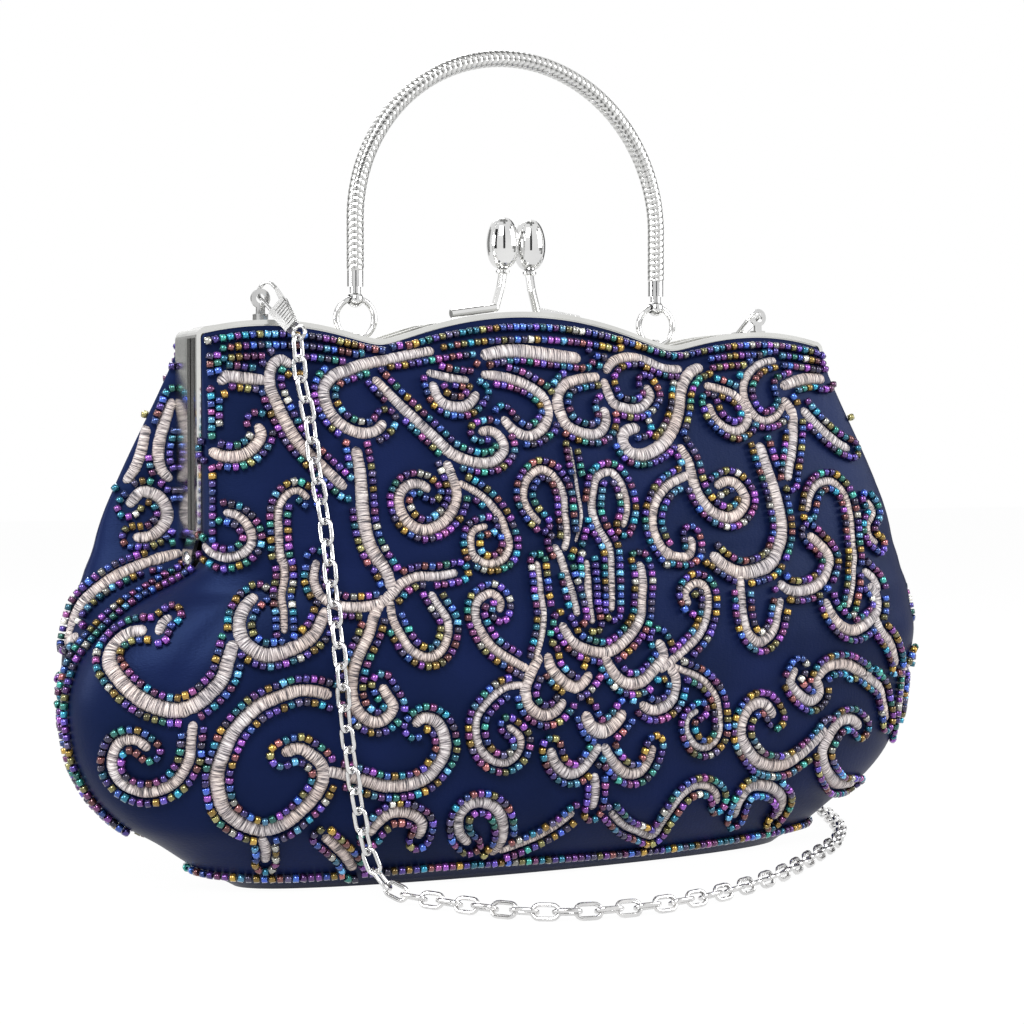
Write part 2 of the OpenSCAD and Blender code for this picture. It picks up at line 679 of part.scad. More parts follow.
module hook_sleeve_shape() {
    x0 = -hook_r - sleeve_lip;
    flat = [
        [x0, -sleeve_top], [sleeve_far_top, -sleeve_top],
        [sleeve_far_bottom, -sleeve_bottom], [x0, -sleeve_bottom]
    ];
    rib = (sleeve_len - 2 * sleeve_lip) / rib_n;
    difference() {
        translate([0, sleeve_t / 2, 0]) rotate([90, 0, 0]) linear_extrude(sleeve_t) polygon(flat);
        for (s = [-1, 1]) for (i = [0:rib_n - 1])
            translate([-hook_r + sleeve_lip, s * (sleeve_t / 2 + over / 2 - rib_depth),
                       -sleeve_top - sleeve_lip - (i + 1) * rib])
                translate([0, -over / 2, 0]) cube([2 * hook_r, over, rib * rib_share]);
        translate([-hook_r, 0, -sleeve_bottom + sleeve_lip]) cylinder(d = hook_wire, h = sleeve_len);
        translate([gate_pivot[0] - 2 * gate_w, -gate_slot / 2, gate_pivot[1] - gate_slot_drop])
            cube([sleeve_len, gate_slot, sleeve_len]);
        translate([gate_pivot[0], sleeve_t, gate_pivot[1]]) rotate([90, 0, 0])
            cylinder(d = gate_pin_d, h = 2 * sleeve_t);
        translate([eye_x, 0, -sleeve_bottom - over])
            cylinder(d = eye_stem_d + 2 * eye_fit, h = eye_seat + over);
    }
}

module hook_gate_shape() {
    tip_z = -hook_tip - gate_gap;
    lever = [
        [gate_pivot[0] - gate_w, gate_pivot[1]], [gate_pivot[0] + gate_w, gate_pivot[1]],
        [hook_r + gate_w / 2, tip_z], [hook_r - gate_w / 2, tip_z]
    ];
    translate([0, gate_t / 2, 0]) rotate([90, 0, 0]) linear_extrude(gate_t) difference() {
        union() {
            translate(gate_pivot) circle(r = gate_w);
            polygon(lever);
        }
        translate(gate_pivot) circle(d = gate_pin_d + 2 * gate_pin_fit);
    }
}

module gate_pin_shape()
    translate([gate_pivot[0], sleeve_t / 2, gate_pivot[1]]) rotate([90, 0, 0])
        cylinder(d = gate_pin_d, h = sleeve_t);

module hook_eye_shape() {
    translate([eye_x, 0, eye_z]) rotate([90, 0, 0])
        rotate_extrude() translate([eye_r, 0]) circle(d = eye_wire);
    translate([eye_x, 0, eye_z + eye_r]) cylinder(d = eye_stem_d,
        h = -sleeve_bottom + eye_seat - eye_fit - eye_z - eye_r);
}

module left_hook() color(silver) at_hook(left_hook_at, left_run, left_across) hook_wire_shape();
module left_hook_sleeve() color(silver)
    at_hook(left_hook_at, left_run, left_across) hook_sleeve_shape();
module left_hook_gate() color(silver)
    at_hook(left_hook_at, left_run, left_across) hook_gate_shape();
module left_gate_pin() color(silver) at_hook(left_hook_at, left_run, left_across) gate_pin_shape();
module left_hook_eye() color(silver) at_hook(left_hook_at, left_run, left_across) hook_eye_shape();
module right_hook() color(silver) at_hook(right_hook_at, right_run, right_across) hook_wire_shape();
module right_hook_sleeve() color(silver)
    at_hook(right_hook_at, right_run, right_across) hook_sleeve_shape();
module right_hook_gate() color(silver)
    at_hook(right_hook_at, right_run, right_across) hook_gate_shape();
module right_gate_pin() color(silver)
    at_hook(right_hook_at, right_run, right_across) gate_pin_shape();
module right_hook_eye() color(silver)
    at_hook(right_hook_at, right_run, right_across) hook_eye_shape();

// Smooth line through the route's points, with its running length and side direction
function through(a, b, c, d, t) =
    (2 * b + (c - a) * t + (2 * a - 5 * b + 4 * c - d) * t * t
     + (3 * b - a - 3 * c + d) * t * t * t) / 2;
function smooth_line(p, n) = concat(
    [for (i = [0:len(p) - 2]) for (k = [0:n - 1])
        through(p[max(i - 1, 0)], p[i], p[i + 1], p[min(i + 2, len(p) - 1)], k / n)],
    [p[len(p) - 1]]
);
function place(p) = [p[0], p[1], p[2]];
line = smooth_line(strap_route, route_steps);
last_point = len(line) - 1;
function step_at(i) = i < last_point ? norm(place(line[i + 1]) - place(line[i])) : 0;
function heading(i) =
    unit(place(line[min(i + 1, last_point)]) - place(line[max(i - 1, 0)]));
line_run = [for (i = 0, s = 0; i <= last_point; s = s + step_at(i), i = i + 1) s];
line_side = [
    for (i = 0, r = square_to(first_side, heading(0)); i <= last_point;
         r = square_to(r, heading(min(i + 1, last_point))), i = i + 1) r
];
function by_run(values) = [for (i = [0:last_point]) [line_run[i], values[i]]];
run_x = by_run([for (p = line) p[0]]);
run_y = by_run([for (p = line) p[1]]);
run_z = by_run([for (p = line) p[2]]);
run_turn = by_run([for (p = line) p[3]]);
side_x = by_run([for (r = line_side) r[0]]);
side_y = by_run([for (r = line_side) r[1]]);
side_z = by_run([for (r = line_side) r[2]]);
function at_run(s) = [lookup(s, run_x), lookup(s, run_y), lookup(s, run_z)];
function side_at(s) = [lookup(s, side_x), lookup(s, side_y), lookup(s, side_z)];
chain_len = line_run[last_point];
link_n = round(chain_len / link_pitch);
pitch = chain_len / link_n;

module chain_link() {
    for (s = [-1, 1]) {
        translate([s * (link_l - link_w) / 2, 0, 0]) rotate([0, 0, -90 * s])
            rotate_extrude(angle = 180, $fn = 24)
                translate([(link_w - link_wire) / 2, 0]) circle(d = link_wire, $fn = 16);
        translate([-(link_l - link_w) / 2, s * (link_w - link_wire) / 2, 0])
            rotate([0, 90, 0]) cylinder(d = link_wire, h = link_l - link_w, $fn = 16);
    }
}

// Link i lies along the route and is turned a quarter against its neighbour
module placed_link(i) {
    s = (i + 0.5) * pitch;
    o = (at_run(s - pitch / 2) + at_run(s + pitch / 2)) / 2;
    t = unit(at_run(s + pitch / 2) - at_run(s - pitch / 2));
    r = square_to(side_at(s), t);
    a = lookup(s, run_turn) + 90 * (i % 2);
    side = r * cos(a) + cross(t, r) * sin(a);
    multmatrix(placed(o, t, cross(t, side))) chain_link();
}
front_links = [for (i = [0:link_n - 1]) if (i < link_n / 2
    && lookup((i + 0.5) * pitch, run_z) > front_end_z) i];
rear_links = [for (i = [0:link_n - 1]) if (i >= link_n / 2
    && lookup((i + 0.5) * pitch, run_z) > front_end_z) i];
first_floor = len(front_links);
last_floor = link_n - len(rear_links) - 1;
module strap_chain_front() color(silver) for (i = front_links) placed_link(i);
module strap_chain_floor() color(silver) for (i = [first_floor:last_floor]) placed_link(i);
module strap_chain_rear() color(silver) for (i = rear_links) placed_link(i);

module front_panel() color(navy) cloth(all_rows, panel_cols, 0, panel_t, panel_top_inset);
module rear_panel() color(navy)
    rotate([0, 0, 180]) cloth(all_rows, panel_cols, 0, panel_t, panel_top_inset);
module front_lining() color(dark_lining)
    cloth(lining_rows, lining_cols, lining_in, lining_in + lining_t, lining_inset);
module rear_lining() color(dark_lining)
    rotate([0, 0, 180])
        cloth(lining_rows, lining_cols, lining_in, lining_in + lining_t, lining_inset);

// Flat outline of the pouch at a row, set in by s
function ring_outline(row, s) = concat(
    [for (j = [0:lining_cols]) let (p = pouch_point(row, 2 * j / lining_cols - 1, s, 0))
        [p[0], p[1]]],
    [for (j = [0:lining_cols]) let (p = pouch_point(row, 2 * j / lining_cols - 1, s, 0))
        [-p[0], -p[1]]]
);
module base_panel() color(navy)
    linear_extrude(base_t) polygon(ring_outline(panel_shares[0], panel_t + 2 * cloth_gap));
module base_board() color(card)
    translate([0, 0, base_t + cloth_gap]) linear_extrude(board_t)
        polygon(ring_outline(panel_shares[0], panel_t + board_t + 2 * cloth_gap));
module lining_floor() color(dark_lining)
    translate([0, 0, row_z(panel_shares[floor_row][0]) + cloth_gap]) linear_extrude(lining_t)
        polygon(ring_outline(panel_shares[floor_row], lining_in + lining_t + 2 * cloth_gap));
module slip_pocket() color(dark_lining)
    rotate([0, 0, 180])
        cloth(pocket_rows, pocket_cols, pocket_in, pocket_in + pocket_t, lining_inset,
              -pocket_side_share, pocket_side_share);

rear_frame();
front_frame();
left_hinge_rivet();
right_hinge_rivet();
rear_knob();
rear_knob_post();
front_knob();
front_knob_post();
left_strap_lug();
right_strap_lug();
left_ring_staple();
right_ring_staple();
left_ring();
right_ring();
left_eyelet();
right_eyelet();
left_ferrule();
right_ferrule();
snake_chain();
handle_core();
left_hook();
left_hook_sleeve();
left_hook_gate();
left_gate_pin();
left_hook_eye();
right_hook();
right_hook_sleeve();
right_hook_gate();
right_gate_pin();
right_hook_eye();
strap_chain_front();
strap_chain_floor();
strap_chain_rear();
front_panel();
rear_panel();
base_panel();
base_board();
front_lining();
rear_lining();
lining_floor();
slip_pocket();
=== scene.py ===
# Evening clutch in beaded navy satin: a chrome kiss-lock frame, a stiff snake-chain
# handle on two rings, and a fine link strap lying round the bag on two snap hooks.
import math
import random

import bmesh
import bpy
import numpy as np
from mathutils import Matrix, Vector


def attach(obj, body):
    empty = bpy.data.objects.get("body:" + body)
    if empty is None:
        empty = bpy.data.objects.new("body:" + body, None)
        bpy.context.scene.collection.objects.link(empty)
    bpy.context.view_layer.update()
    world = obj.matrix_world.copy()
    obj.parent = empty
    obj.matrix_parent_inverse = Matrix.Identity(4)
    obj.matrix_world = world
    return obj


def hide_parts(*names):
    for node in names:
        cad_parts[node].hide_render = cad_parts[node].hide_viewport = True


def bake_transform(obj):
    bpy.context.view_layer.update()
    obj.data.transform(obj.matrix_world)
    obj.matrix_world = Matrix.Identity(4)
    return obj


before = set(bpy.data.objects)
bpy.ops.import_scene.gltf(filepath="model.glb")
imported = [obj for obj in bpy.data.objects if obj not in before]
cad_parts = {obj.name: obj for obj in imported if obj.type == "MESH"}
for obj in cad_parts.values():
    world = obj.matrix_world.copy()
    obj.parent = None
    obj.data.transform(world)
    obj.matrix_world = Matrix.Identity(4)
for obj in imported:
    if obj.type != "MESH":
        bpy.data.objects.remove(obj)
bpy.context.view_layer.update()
mm = 0.001


def sized(*numbers):
    return Vector(numbers) * mm


# Camera: where the photographer stood, 650 mm from the bag's middle line and to its
# left, at 123 mm height, looking a little down. The picture is 1024 pixels each way.
eye_away, eye_high = 650, 123
picture_pixels, focal_pixels, gaze_left, gaze_down = 1024, 2195, 4, 66
stand = math.radians(25.5)
ahead = Vector((math.sin(stand), math.cos(stand), 0))
across = Vector((math.cos(stand), -math.sin(stand), 0))
eye = sized(0, 0, eye_high) - ahead * eye_away * mm
lens = bpy.data.cameras.new("photograph")
lens.sensor_width = 36
lens.lens = focal_pixels * lens.sensor_width / picture_pixels
lens.clip_start, lens.clip_end = 0.01, 50
camera = bpy.data.objects.new("photograph", lens)
bpy.context.collection.objects.link(camera)
gaze = ahead * focal_pixels - across * gaze_left - Vector((0, 0, gaze_down))
camera.location = eye
camera.rotation_euler = gaze.to_track_quat("-Z", "Y").to_euler()
bpy.context.scene.camera = camera
bpy.context.scene.view_settings.view_transform = "Standard"


# Link strap: 107 oval links of 1.2 mm round wire, each turned a quarter from the one
# before and closed round it. It hangs down the front from the left hook, lies loosely
# on the table round the bag's right end, and climbs the back to the right hook.
strap_route = [
    (-75.7, -20.4, 152.4, 0), (-75, -21, 141, 0), (-73, -22, 131, 0), (-72, -24, 117, 0),
    (-70.5, -27, 103, 0), (-70, -30, 89, 0), (-69.5, -33, 75, 0), (-69, -36, 62, 0),
    (-68.5, -37, 50, 0), (-67, -37.5, 38, 0), (-65, -37.5, 26, 0), (-62.5, -38, 14, -8),
    (-60, -40.5, 6.8, -15), (-56.5, -45.5, 3.2, -22), (-50, -54.5, 2.4, -30),
    (-39, -72, 2.4, -30), (-28, -81, 2.4, -30), (-13, -85, 2.4, -30), (6, -84, 2.4, -30),
    (25, -78, 2.4, -30), (48, -66, 2.4, -30), (69, -50, 2.4, -30), (94, -28, 2.4, -30),
    (108, -10, 2.4, -30), (119, 12, 2.4, -30), (124, 26, 2.4, -30), (122, 39, 2.4, -30),
    (113, 47, 2.4, -30), (101, 48, 2.4, -30), (92, 44.8, 3.4, -24), (87, 41.5, 8.6, -16),
    (85, 39, 17, -8), (84, 38, 30, 0), (83.5, 37.5, 44, 0), (83, 36, 58, 0),
    (82.5, 33, 73, 0), (82, 30, 88, 0), (82, 27, 102, 0), (81.5, 24.5, 116, 0),
    (81, 23, 130, 0), (81.4, 22.5, 150, 0),
]
link_long, link_wide, link_wire = 8.2, 4.9, 1.2
link_pitch, strap_thick = 5.66, 4.6
front_end_z, route_step, route_smooth, wire_sides, link_turns = 4, 3, 8, 8, 8
first_turn = Vector((-0.83, -0.56, 0))


def finish_of(name, metallic=0.0, roughness=0.5, **constants):
    """A named finish and its shader, with the constants that it starts from."""
    material = bpy.data.materials.new(name)
    material.use_nodes = True
    shader = material.node_tree.nodes["Principled BSDF"]
    shader.inputs["Metallic"].default_value = metallic
    shader.inputs["Roughness"].default_value = roughness
    for socket, value in constants.items():
        shader.inputs[socket.replace("_", " ")].default_value = value
    return material, shader


def step(material, kind, **settings):
    """One node of a finish, with its settings."""
    node = material.node_tree.nodes.new("ShaderNode" + kind)
    for key, value in settings.items():
        if key in node.bl_rna.properties:
            setattr(node, key, value)
        else:
            node.inputs[key.replace("_", " ")].default_value = value
    return node


def join(material, source, target):
    material.node_tree.links.new(source, target)


def speckle(material, scale, detail=2.0, stretch=(1, 1, 1)):
    """Cloudy mottling from 0 to 1, with that many cells to the metre."""
    place = step(material, "TexCoord")
    turn = step(material, "Mapping")
    turn.inputs["Scale"].default_value = stretch
    cloud = step(material, "TexNoise", Scale=scale, Detail=detail)
    join(material, place.outputs["Object"], turn.inputs["Vector"])
    join(material, turn.outputs["Vector"], cloud.inputs["Vector"])
    return cloud.outputs["Fac"]


def shades(material, value, *stops):
    """A colour for each value, through the stops of (value, colour)."""
    ramp = step(material, "ValToRGB")
    band = ramp.color_ramp
    while len(band.elements) < len(stops):
        band.elements.new(0.5)
    for element, (place, colour) in zip(band.elements, stops):
        element.position, element.color = place, (*colour, 1)
    join(material, value, ramp.inputs["Fac"])
    return ramp.outputs["Color"]


def colour_by(material, shader, value, *stops):
    join(material, shades(material, value, *stops), shader.inputs["Base Color"])


def relief(material, shader, height, strength, distance):
    """Fine relief of the surface, of so many metres."""
    bump = step(material, "Bump", Strength=strength, Distance=distance)
    join(material, height, bump.inputs["Height"])
    join(material, bump.outputs["Normal"], shader.inputs["Normal"])


def eased(points, steps):
    """A smooth line through the points, with its steps evenly spread between them."""
    points = [np.array(p, float) for p in points]
    line = []
    for i, (b, c) in enumerate(zip(points, points[1:])):
        a, d = points[max(i - 1, 0)], points[min(i + 2, len(points) - 1)]
        for t in np.arange(steps) / steps:
            bend = (2 * a - 5 * b + 4 * c - d) * t**2 + (3 * b - a - 3 * c + d) * t**3
            line.append((2 * b + (c - a) * t + bend) / 2)
    return np.array([*line, points[-1]])


def square_to(side, along):
    """The side direction, turned until it is square to the run."""
    return (side - along * side.dot(along)).normalized()


def put_in(name, mesh, material):
    """The scene's object for a finished mesh."""
    mesh.materials.append(material)
    made = bpy.data.objects.new(name, mesh)
    bpy.context.collection.objects.link(made)
    return made


def settle(name, bm, material):
    """The scene's object for a shape that was drawn face by face."""
    mesh = bpy.data.meshes.new(name)
    bm.to_mesh(mesh)
    return put_in(name, mesh, material)


def set_out(name, unit, places, material, tints=None):
    """One object of the unit shape, set at each of the places."""
    unit.verts.index_update()
    corners = np.array([[*v.co, 1] for v in unit.verts])
    faces = np.array([[v.index for v in f.verts] for f in unit.faces])
    points = np.einsum("nij,vj->nvi", np.array(places), corners)[..., :3].reshape(-1, 3)
    count = len(places)
    shift = np.arange(count)[:, None, None] * len(corners)
    mesh = bpy.data.meshes.new(name)
    all_faces = (faces[None] + shift).reshape(-1, faces.shape[1])
    mesh.from_pydata(points.tolist(), [], all_faces.tolist())
    mesh.polygons.foreach_set("use_smooth", [True] * len(mesh.polygons))
    if tints is not None:
        paint = mesh.color_attributes.new("tint", "FLOAT_COLOR", "POINT")
        colours = np.repeat(np.array(tints, np.float32), len(corners), axis=0)
        paint.data.foreach_set("color", colours.ravel())
    return put_in(name, mesh, material)


def oval_link():
    """A wire ring bent to an oval: two half turns joined by two straights."""
    bm = bmesh.new()
    reach = (link_wide - link_wire) / 2 * mm
    half = (link_long - link_wide) / 2 * mm
    turn = Matrix.Translation((half, -reach, 0)) @ Matrix.Rotation(math.pi / 2, 4, "Y")
    ring = bmesh.ops.create_circle(bm, segments=wire_sides, radius=link_wire / 2 * mm, matrix=turn)
    edges = list({e for v in ring["verts"] for e in v.link_edges})
    for way in (1, -1):
        bent = bmesh.ops.spin(
            bm, geom=edges, cent=(half * way, 0, 0), axis=(0, 0, 1), angle=math.pi,
            steps=link_turns,
        )
        edges = [g for g in bent["geom_last"] if isinstance(g, bmesh.types.BMEdge)]
        drawn = bmesh.ops.extrude_edge_only(bm, edges=edges)["geom"]
        moved = [g for g in drawn if isinstance(g, bmesh.types.BMVert)]
        bmesh.ops.translate(bm, vec=(-2 * half * way, 0, 0), verts=moved)
        edges = [g for g in drawn if isinstance(g, bmesh.types.BMEdge)]
        edges = [e for e in edges if all(v in moved for v in e.verts)]
    bmesh.ops.remove_doubles(bm, verts=bm.verts, dist=0.01 * mm)
    bmesh.ops.recalc_face_normals(bm, faces=bm.faces)
    return bm


strap_line = eased(strap_route, route_smooth)
strap_points = strap_line[:, :3]
strap_run = np.concatenate([[0], np.cumsum(np.linalg.norm(np.diff(strap_points, axis=0), axis=1))])
last = len(strap_points) - 1
turned = first_turn
sides = []
for i in range(last + 1):
    head = Vector(strap_points[min(i + 1, last)] - strap_points[max(i - 1, 0)]).normalized()
    turned = square_to(turned, head)
    sides.append(turned)
sides = np.array(sides)
link_count = round(strap_run[-1] / link_pitch)
link_step = strap_run[-1] / link_count


def along_strap(values, s):
    return Vector([np.interp(s, strap_run, values[:, k]) for k in range(3)])


link_places = []
for i in range(link_count):
    start = along_strap(strap_points, i * link_step)
    end = along_strap(strap_points, (i + 1) * link_step)
    middle, run = (start + end) / 2, (end - start).normalized()
    half_way = (i + 0.5) * link_step
    side = square_to(along_strap(sides, half_way), run)
    angle = math.radians(np.interp(half_way, strap_run, strap_line[:, 3]) + 90 * (i % 2))
    side = side * math.cos(angle) + run.cross(side) * math.sin(angle)
    up = run.cross(side)
    flat = up.cross(run)
    place = Matrix((run, flat, up)).transposed().to_4x4()
    place.translation = middle * mm
    link_places.append(place)

silver, silver_shader = finish_of("bright_silver_wire", metallic=1.0, roughness=0.16)
colour_by(
    silver, silver_shader, speckle(silver, 300, 4),
    (0.3, (0.62, 0.62, 0.62)), (0.8, (0.80, 0.79, 0.78)),
)
relief(silver, silver_shader, speckle(silver, 1500), 0.15, 0.00005)

on_table = [place.translation.z < front_end_z * mm for place in link_places]
front_count = on_table.index(True)
strap_front = set_out("strap_front", oval_link(), link_places[:front_count], silver)
strap_rest = set_out("strap_rest", oval_link(), link_places[front_count:], silver)


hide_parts("strap_chain_front")
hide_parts("strap_chain_floor", "strap_chain_rear")
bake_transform(strap_front)
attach(strap_rest, "root")


# Table and lights: a white sheet under the bag, a bright white room for the chrome to
# show, and broad soft lamps in front, above and to the left.
table_half, table_under, paper_glow, room_light = 3, 0.05, 0.97, 0.55
lamp_aim, card_aim = sized(0, 0, 80), sized(0, 0, 120)


def seen_directly(owner):
    """1 for what the camera, a mirror or glass shows, 0 for what only lights the bag."""
    path = step(owner, "LightPath")
    shown = path.outputs["Is Camera Ray"]
    for ray in ("Is Glossy Ray", "Is Transmission Ray"):
        either = step(owner, "Math", operation="MAXIMUM")
        join(owner, shown, either.inputs[0])
        join(owner, path.outputs[ray], either.inputs[1])
        shown = either.outputs[0]
    return shown


paper, paper_shader = finish_of("white_paper", roughness=0.85)
paper_tones = (0, (0.9, 0.9, 0.9)), (1, (0.94, 0.94, 0.94))
colour_by(paper, paper_shader, speckle(paper, 400), *paper_tones)
glow = step(paper, "Emission", Strength=1.0)
glow_share = step(paper, "Math", operation="MULTIPLY")
glow_share.inputs[1].default_value = paper_glow
blend_paper = step(paper, "MixShader")
join(paper, seen_directly(paper), glow_share.inputs[0])
join(paper, glow_share.outputs[0], blend_paper.inputs[0])
join(paper, paper_shader.outputs[0], blend_paper.inputs[1])
join(paper, glow.outputs[0], blend_paper.inputs[2])
paper_out = paper.node_tree.nodes["Material Output"]
join(paper, blend_paper.outputs[0], paper_out.inputs["Surface"])
sheet = bmesh.new()
bmesh.ops.create_grid(sheet, x_segments=1, y_segments=1, size=table_half)
bmesh.ops.translate(sheet, vec=sized(0, 0, -table_under), verts=sheet.verts)
table = settle("table", sheet, paper)

room = bpy.data.worlds.new("room")
bpy.context.scene.world = room
room.use_nodes = True
lit = room.node_tree.nodes["Background"]
lit.inputs["Color"].default_value = (0.97, 0.98, 1, 1)
lit.inputs["Strength"].default_value = room_light
white = step(room, "Background", Color=(1, 1, 1, 1), Strength=1.0)
choose = step(room, "MixShader")
join(room, seen_directly(room), choose.inputs[0])
join(room, lit.outputs[0], choose.inputs[1])
join(room, white.outputs[0], choose.inputs[2])
join(room, choose.outputs[0], room.node_tree.nodes["World Output"].inputs["Surface"])

for name, place, size, power in (
    ("key_lamp", (-0.55, -0.75, 0.85), 0.5, 15),
    ("side_lamp", (0.9, -0.5, 0.5), 0.6, 8),
    ("back_lamp", (0.1, 0.8, 0.9), 0.6, 8),
    ("left_strip", (-0.9, 0.05, 0.35), 0.35, 4),
):
    lamp = bpy.data.lights.new(name, "AREA")
    lamp.size, lamp.energy = size, power
    stand_in = bpy.data.objects.new(name, lamp)
    bpy.context.collection.objects.link(stand_in)
    stand_in.location = place
    toward = lamp_aim - stand_in.location
    stand_in.rotation_euler = toward.to_track_quat("-Z", "Y").to_euler()


# Studio cards: dark and grey boards round the bag. The camera doesn't see them and they
# throw no shadow, so that only the polished metal shows them.
def board_of(name, dark, light):
    """Matt board, a little uneven in its tone."""
    material, shader = finish_of(name, roughness=0.9, Specular_IOR_Level=0.1)
    colour_by(material, shader, speckle(material, 3), (0, dark), (1, light))
    return material


black_flag = board_of("black_flag", (0.015, 0.015, 0.016), (0.03, 0.03, 0.032))
grey_flag = board_of("grey_flag", (0.2, 0.2, 0.2), (0.26, 0.26, 0.25))
for name, place, wide, tall, board in (
    ("camera_flag", (-0.30, -1.30, 0.35), 0.35, 2.2, black_flag),
    ("right_flag", (1.35, -0.55, 0.3), 0.9, 2.0, grey_flag),
    ("left_flag", (-1.5, -0.35, 0.3), 0.6, 2.0, black_flag),
    ("back_flag", (-0.75, 1.1, 0.25), 0.8, 1.0, grey_flag),
    ("far_flag", (1.25, 0.75, 0.3), 0.7, 1.8, black_flag),
    ("roof_flag", (0.1, -0.1, 1.7), 1.1, 1.1, grey_flag),
):
    bm = bmesh.new()
    bmesh.ops.create_grid(bm, x_segments=1, y_segments=1, size=0.5)
    spot = Vector(place)
    facing = (card_aim - spot).to_track_quat("Z", "Y").to_matrix().to_4x4()
    bmesh.ops.scale(bm, vec=(wide, tall, 1), verts=bm.verts)
    bmesh.ops.transform(bm, matrix=Matrix.Translation(spot) @ facing, verts=bm.verts)
    card = settle(name, bm, board)
    card.visible_shadow = card.visible_diffuse = card.visible_camera = False


# Frame halves: two chrome-plated brass channels, stamped to the same waved top edge
# and pinned together at their leg ends. The plating is polished, with faint rub lines.
def plated(name, bright, dark, roughness, rub=(1, 1, 1)):
    """Polished plating, mottled by wear; the rub draws the marks out along one axis."""
    material, shader = finish_of(name, metallic=1.0, roughness=roughness)
    lines = speckle(material, 90, 6, stretch=rub)
    colour_by(material, shader, lines, (0.3, dark), (0.7, bright))
    rough = step(material, "MapRange", To_Min=roughness * 0.7, To_Max=roughness * 1.5)
    join(material, speckle(material, 60, 5), rough.inputs["Value"])
    join(material, rough.outputs[0], shader.inputs["Roughness"])
    relief(material, shader, speckle(material, 900, 3, stretch=rub), 0.03, 0.00003)
    return material


def dress(material, slot, *names):
    """Gives a finish to solids whose own shape is kept. The slot is not used."""
    for name in names:
        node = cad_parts[name]
        if not node.material_slots:
            node.data.materials.append(material)
        for place in node.material_slots:
            place.link = "OBJECT"
            place.material = material


frame_plate = plated("frame_chrome", (0.74, 0.74, 0.72), (0.64, 0.64, 0.62), 0.19)
dress(frame_plate, "frame_metal", "rear_frame")

# The front half's legs are grooved down their outer side. The groove's floor lies 1 mm
# in, between the leg's two raised edges, and is coloured near black as painted shade.
groove_plate = plated("grooved_chrome", (0.74, 0.74, 0.72), (0.64, 0.64, 0.62), 0.15)
groove_shader = groove_plate.node_tree.nodes["Principled BSDF"]
groove_out, groove_across, groove_up = (0.09985, 0.10015), (-0.0089, -0.0011), (0.097, 0.153)


def compare(material, kind, value, second):
    """A node of arithmetic on a value and either a number or another value."""
    node = step(material, "Math", operation=kind)
    join(material, value, node.inputs[0])
    if isinstance(second, float):
        node.inputs[1].default_value = second
    else:
        join(material, second, node.inputs[1])
    return node.outputs[0]


spot = step(groove_plate, "TexCoord")
apart = step(groove_plate, "SeparateXYZ")
join(groove_plate, spot.outputs["Object"], apart.inputs[0])
outwards = step(groove_plate, "Math", operation="ABSOLUTE")
join(groove_plate, apart.outputs["X"], outwards.inputs[0])
groove_shade_mask = None
for value, (low, high) in (
    (outwards.outputs[0], groove_out), (apart.outputs["Y"], groove_across),
    (apart.outputs["Z"], groove_up),
):
    above = compare(groove_plate, "GREATER_THAN", value, low)
    below = compare(groove_plate, "LESS_THAN", value, high)
    both = compare(groove_plate, "MULTIPLY", above, below)
    groove_shade_mask = compare(groove_plate, "MULTIPLY", groove_shade_mask, both) if groove_shade_mask else both
# Painted shade: on the groove's floor the plating's colour is swapped for near black.
groove_shade_mix = step(groove_plate, "Mix", data_type="RGBA")
groove_shade_tones = (0, (0.10, 0.10, 0.10)), (1, (0.05, 0.05, 0.05))
join(groove_plate, groove_shade_mask, groove_shade_mix.inputs["Factor"])
join(groove_plate, groove_shader.inputs["Base Color"].links[0].from_socket, groove_shade_mix.inputs[6])
join(groove_plate, shades(groove_plate, apart.outputs["Y"], *groove_shade_tones), groove_shade_mix.inputs[7])
join(groove_plate, groove_shade_mix.outputs[2], groove_shader.inputs["Base Color"])
dress(groove_plate, "frame_metal", "front_frame")


# Hinge rivets: headed pins through both legs' ears, one at each side. The head outside
# is spun to a small polished dome.
rivet_plate = plated("rivet_chrome", (0.76, 0.76, 0.75), (0.58, 0.58, 0.58), 0.12)
dress(rivet_plate, "frame_metal", "left_hinge_rivet", "right_hinge_rivet")


# Kiss-lock: two turned egg-shaped knobs on bent wire posts, one post on each frame half
# at the middle of its top. They are crossed over to shut the bag and hold by spring.
knob_plate = plated("knob_chrome", (0.78, 0.78, 0.77), (0.66, 0.66, 0.66), 0.07)
dress(knob_plate, "frame_metal", "front_knob", "rear_knob", "front_knob_post", "rear_knob_post")


# Strap lugs and ring staples: a lug is a drilled disc on a stepped foot, the left one
# riveted to the front half and the right one to the rear; a staple is bent wire that
# holds the handle's ring down in the channel.
lug_plate = plated("lug_chrome", (0.74, 0.74, 0.73), (0.52, 0.52, 0.52), 0.16)
for hand in ("left", "right"):
    dress(lug_plate, "frame_metal", hand + "_strap_lug", hand + "_ring_staple")


# Handle ends: a closed wire ring in each staple, a drilled ball on the ring, and a
# plain turned ferrule that grips the snake chain.
ring_plate = plated("ring_chrome", (0.76, 0.76, 0.75), (0.58, 0.58, 0.58), 0.1)
for hand in ("left", "right"):
    dress(ring_plate, "handle_metal", hand + "_ring", hand + "_eyelet", hand + "_ferrule")
core_wire = plated("core_wire", (0.5, 0.5, 0.5), (0.3, 0.3, 0.3), 0.35, rub=(1, 1, 8))
dress(core_wire, "core_steel", "handle_core")


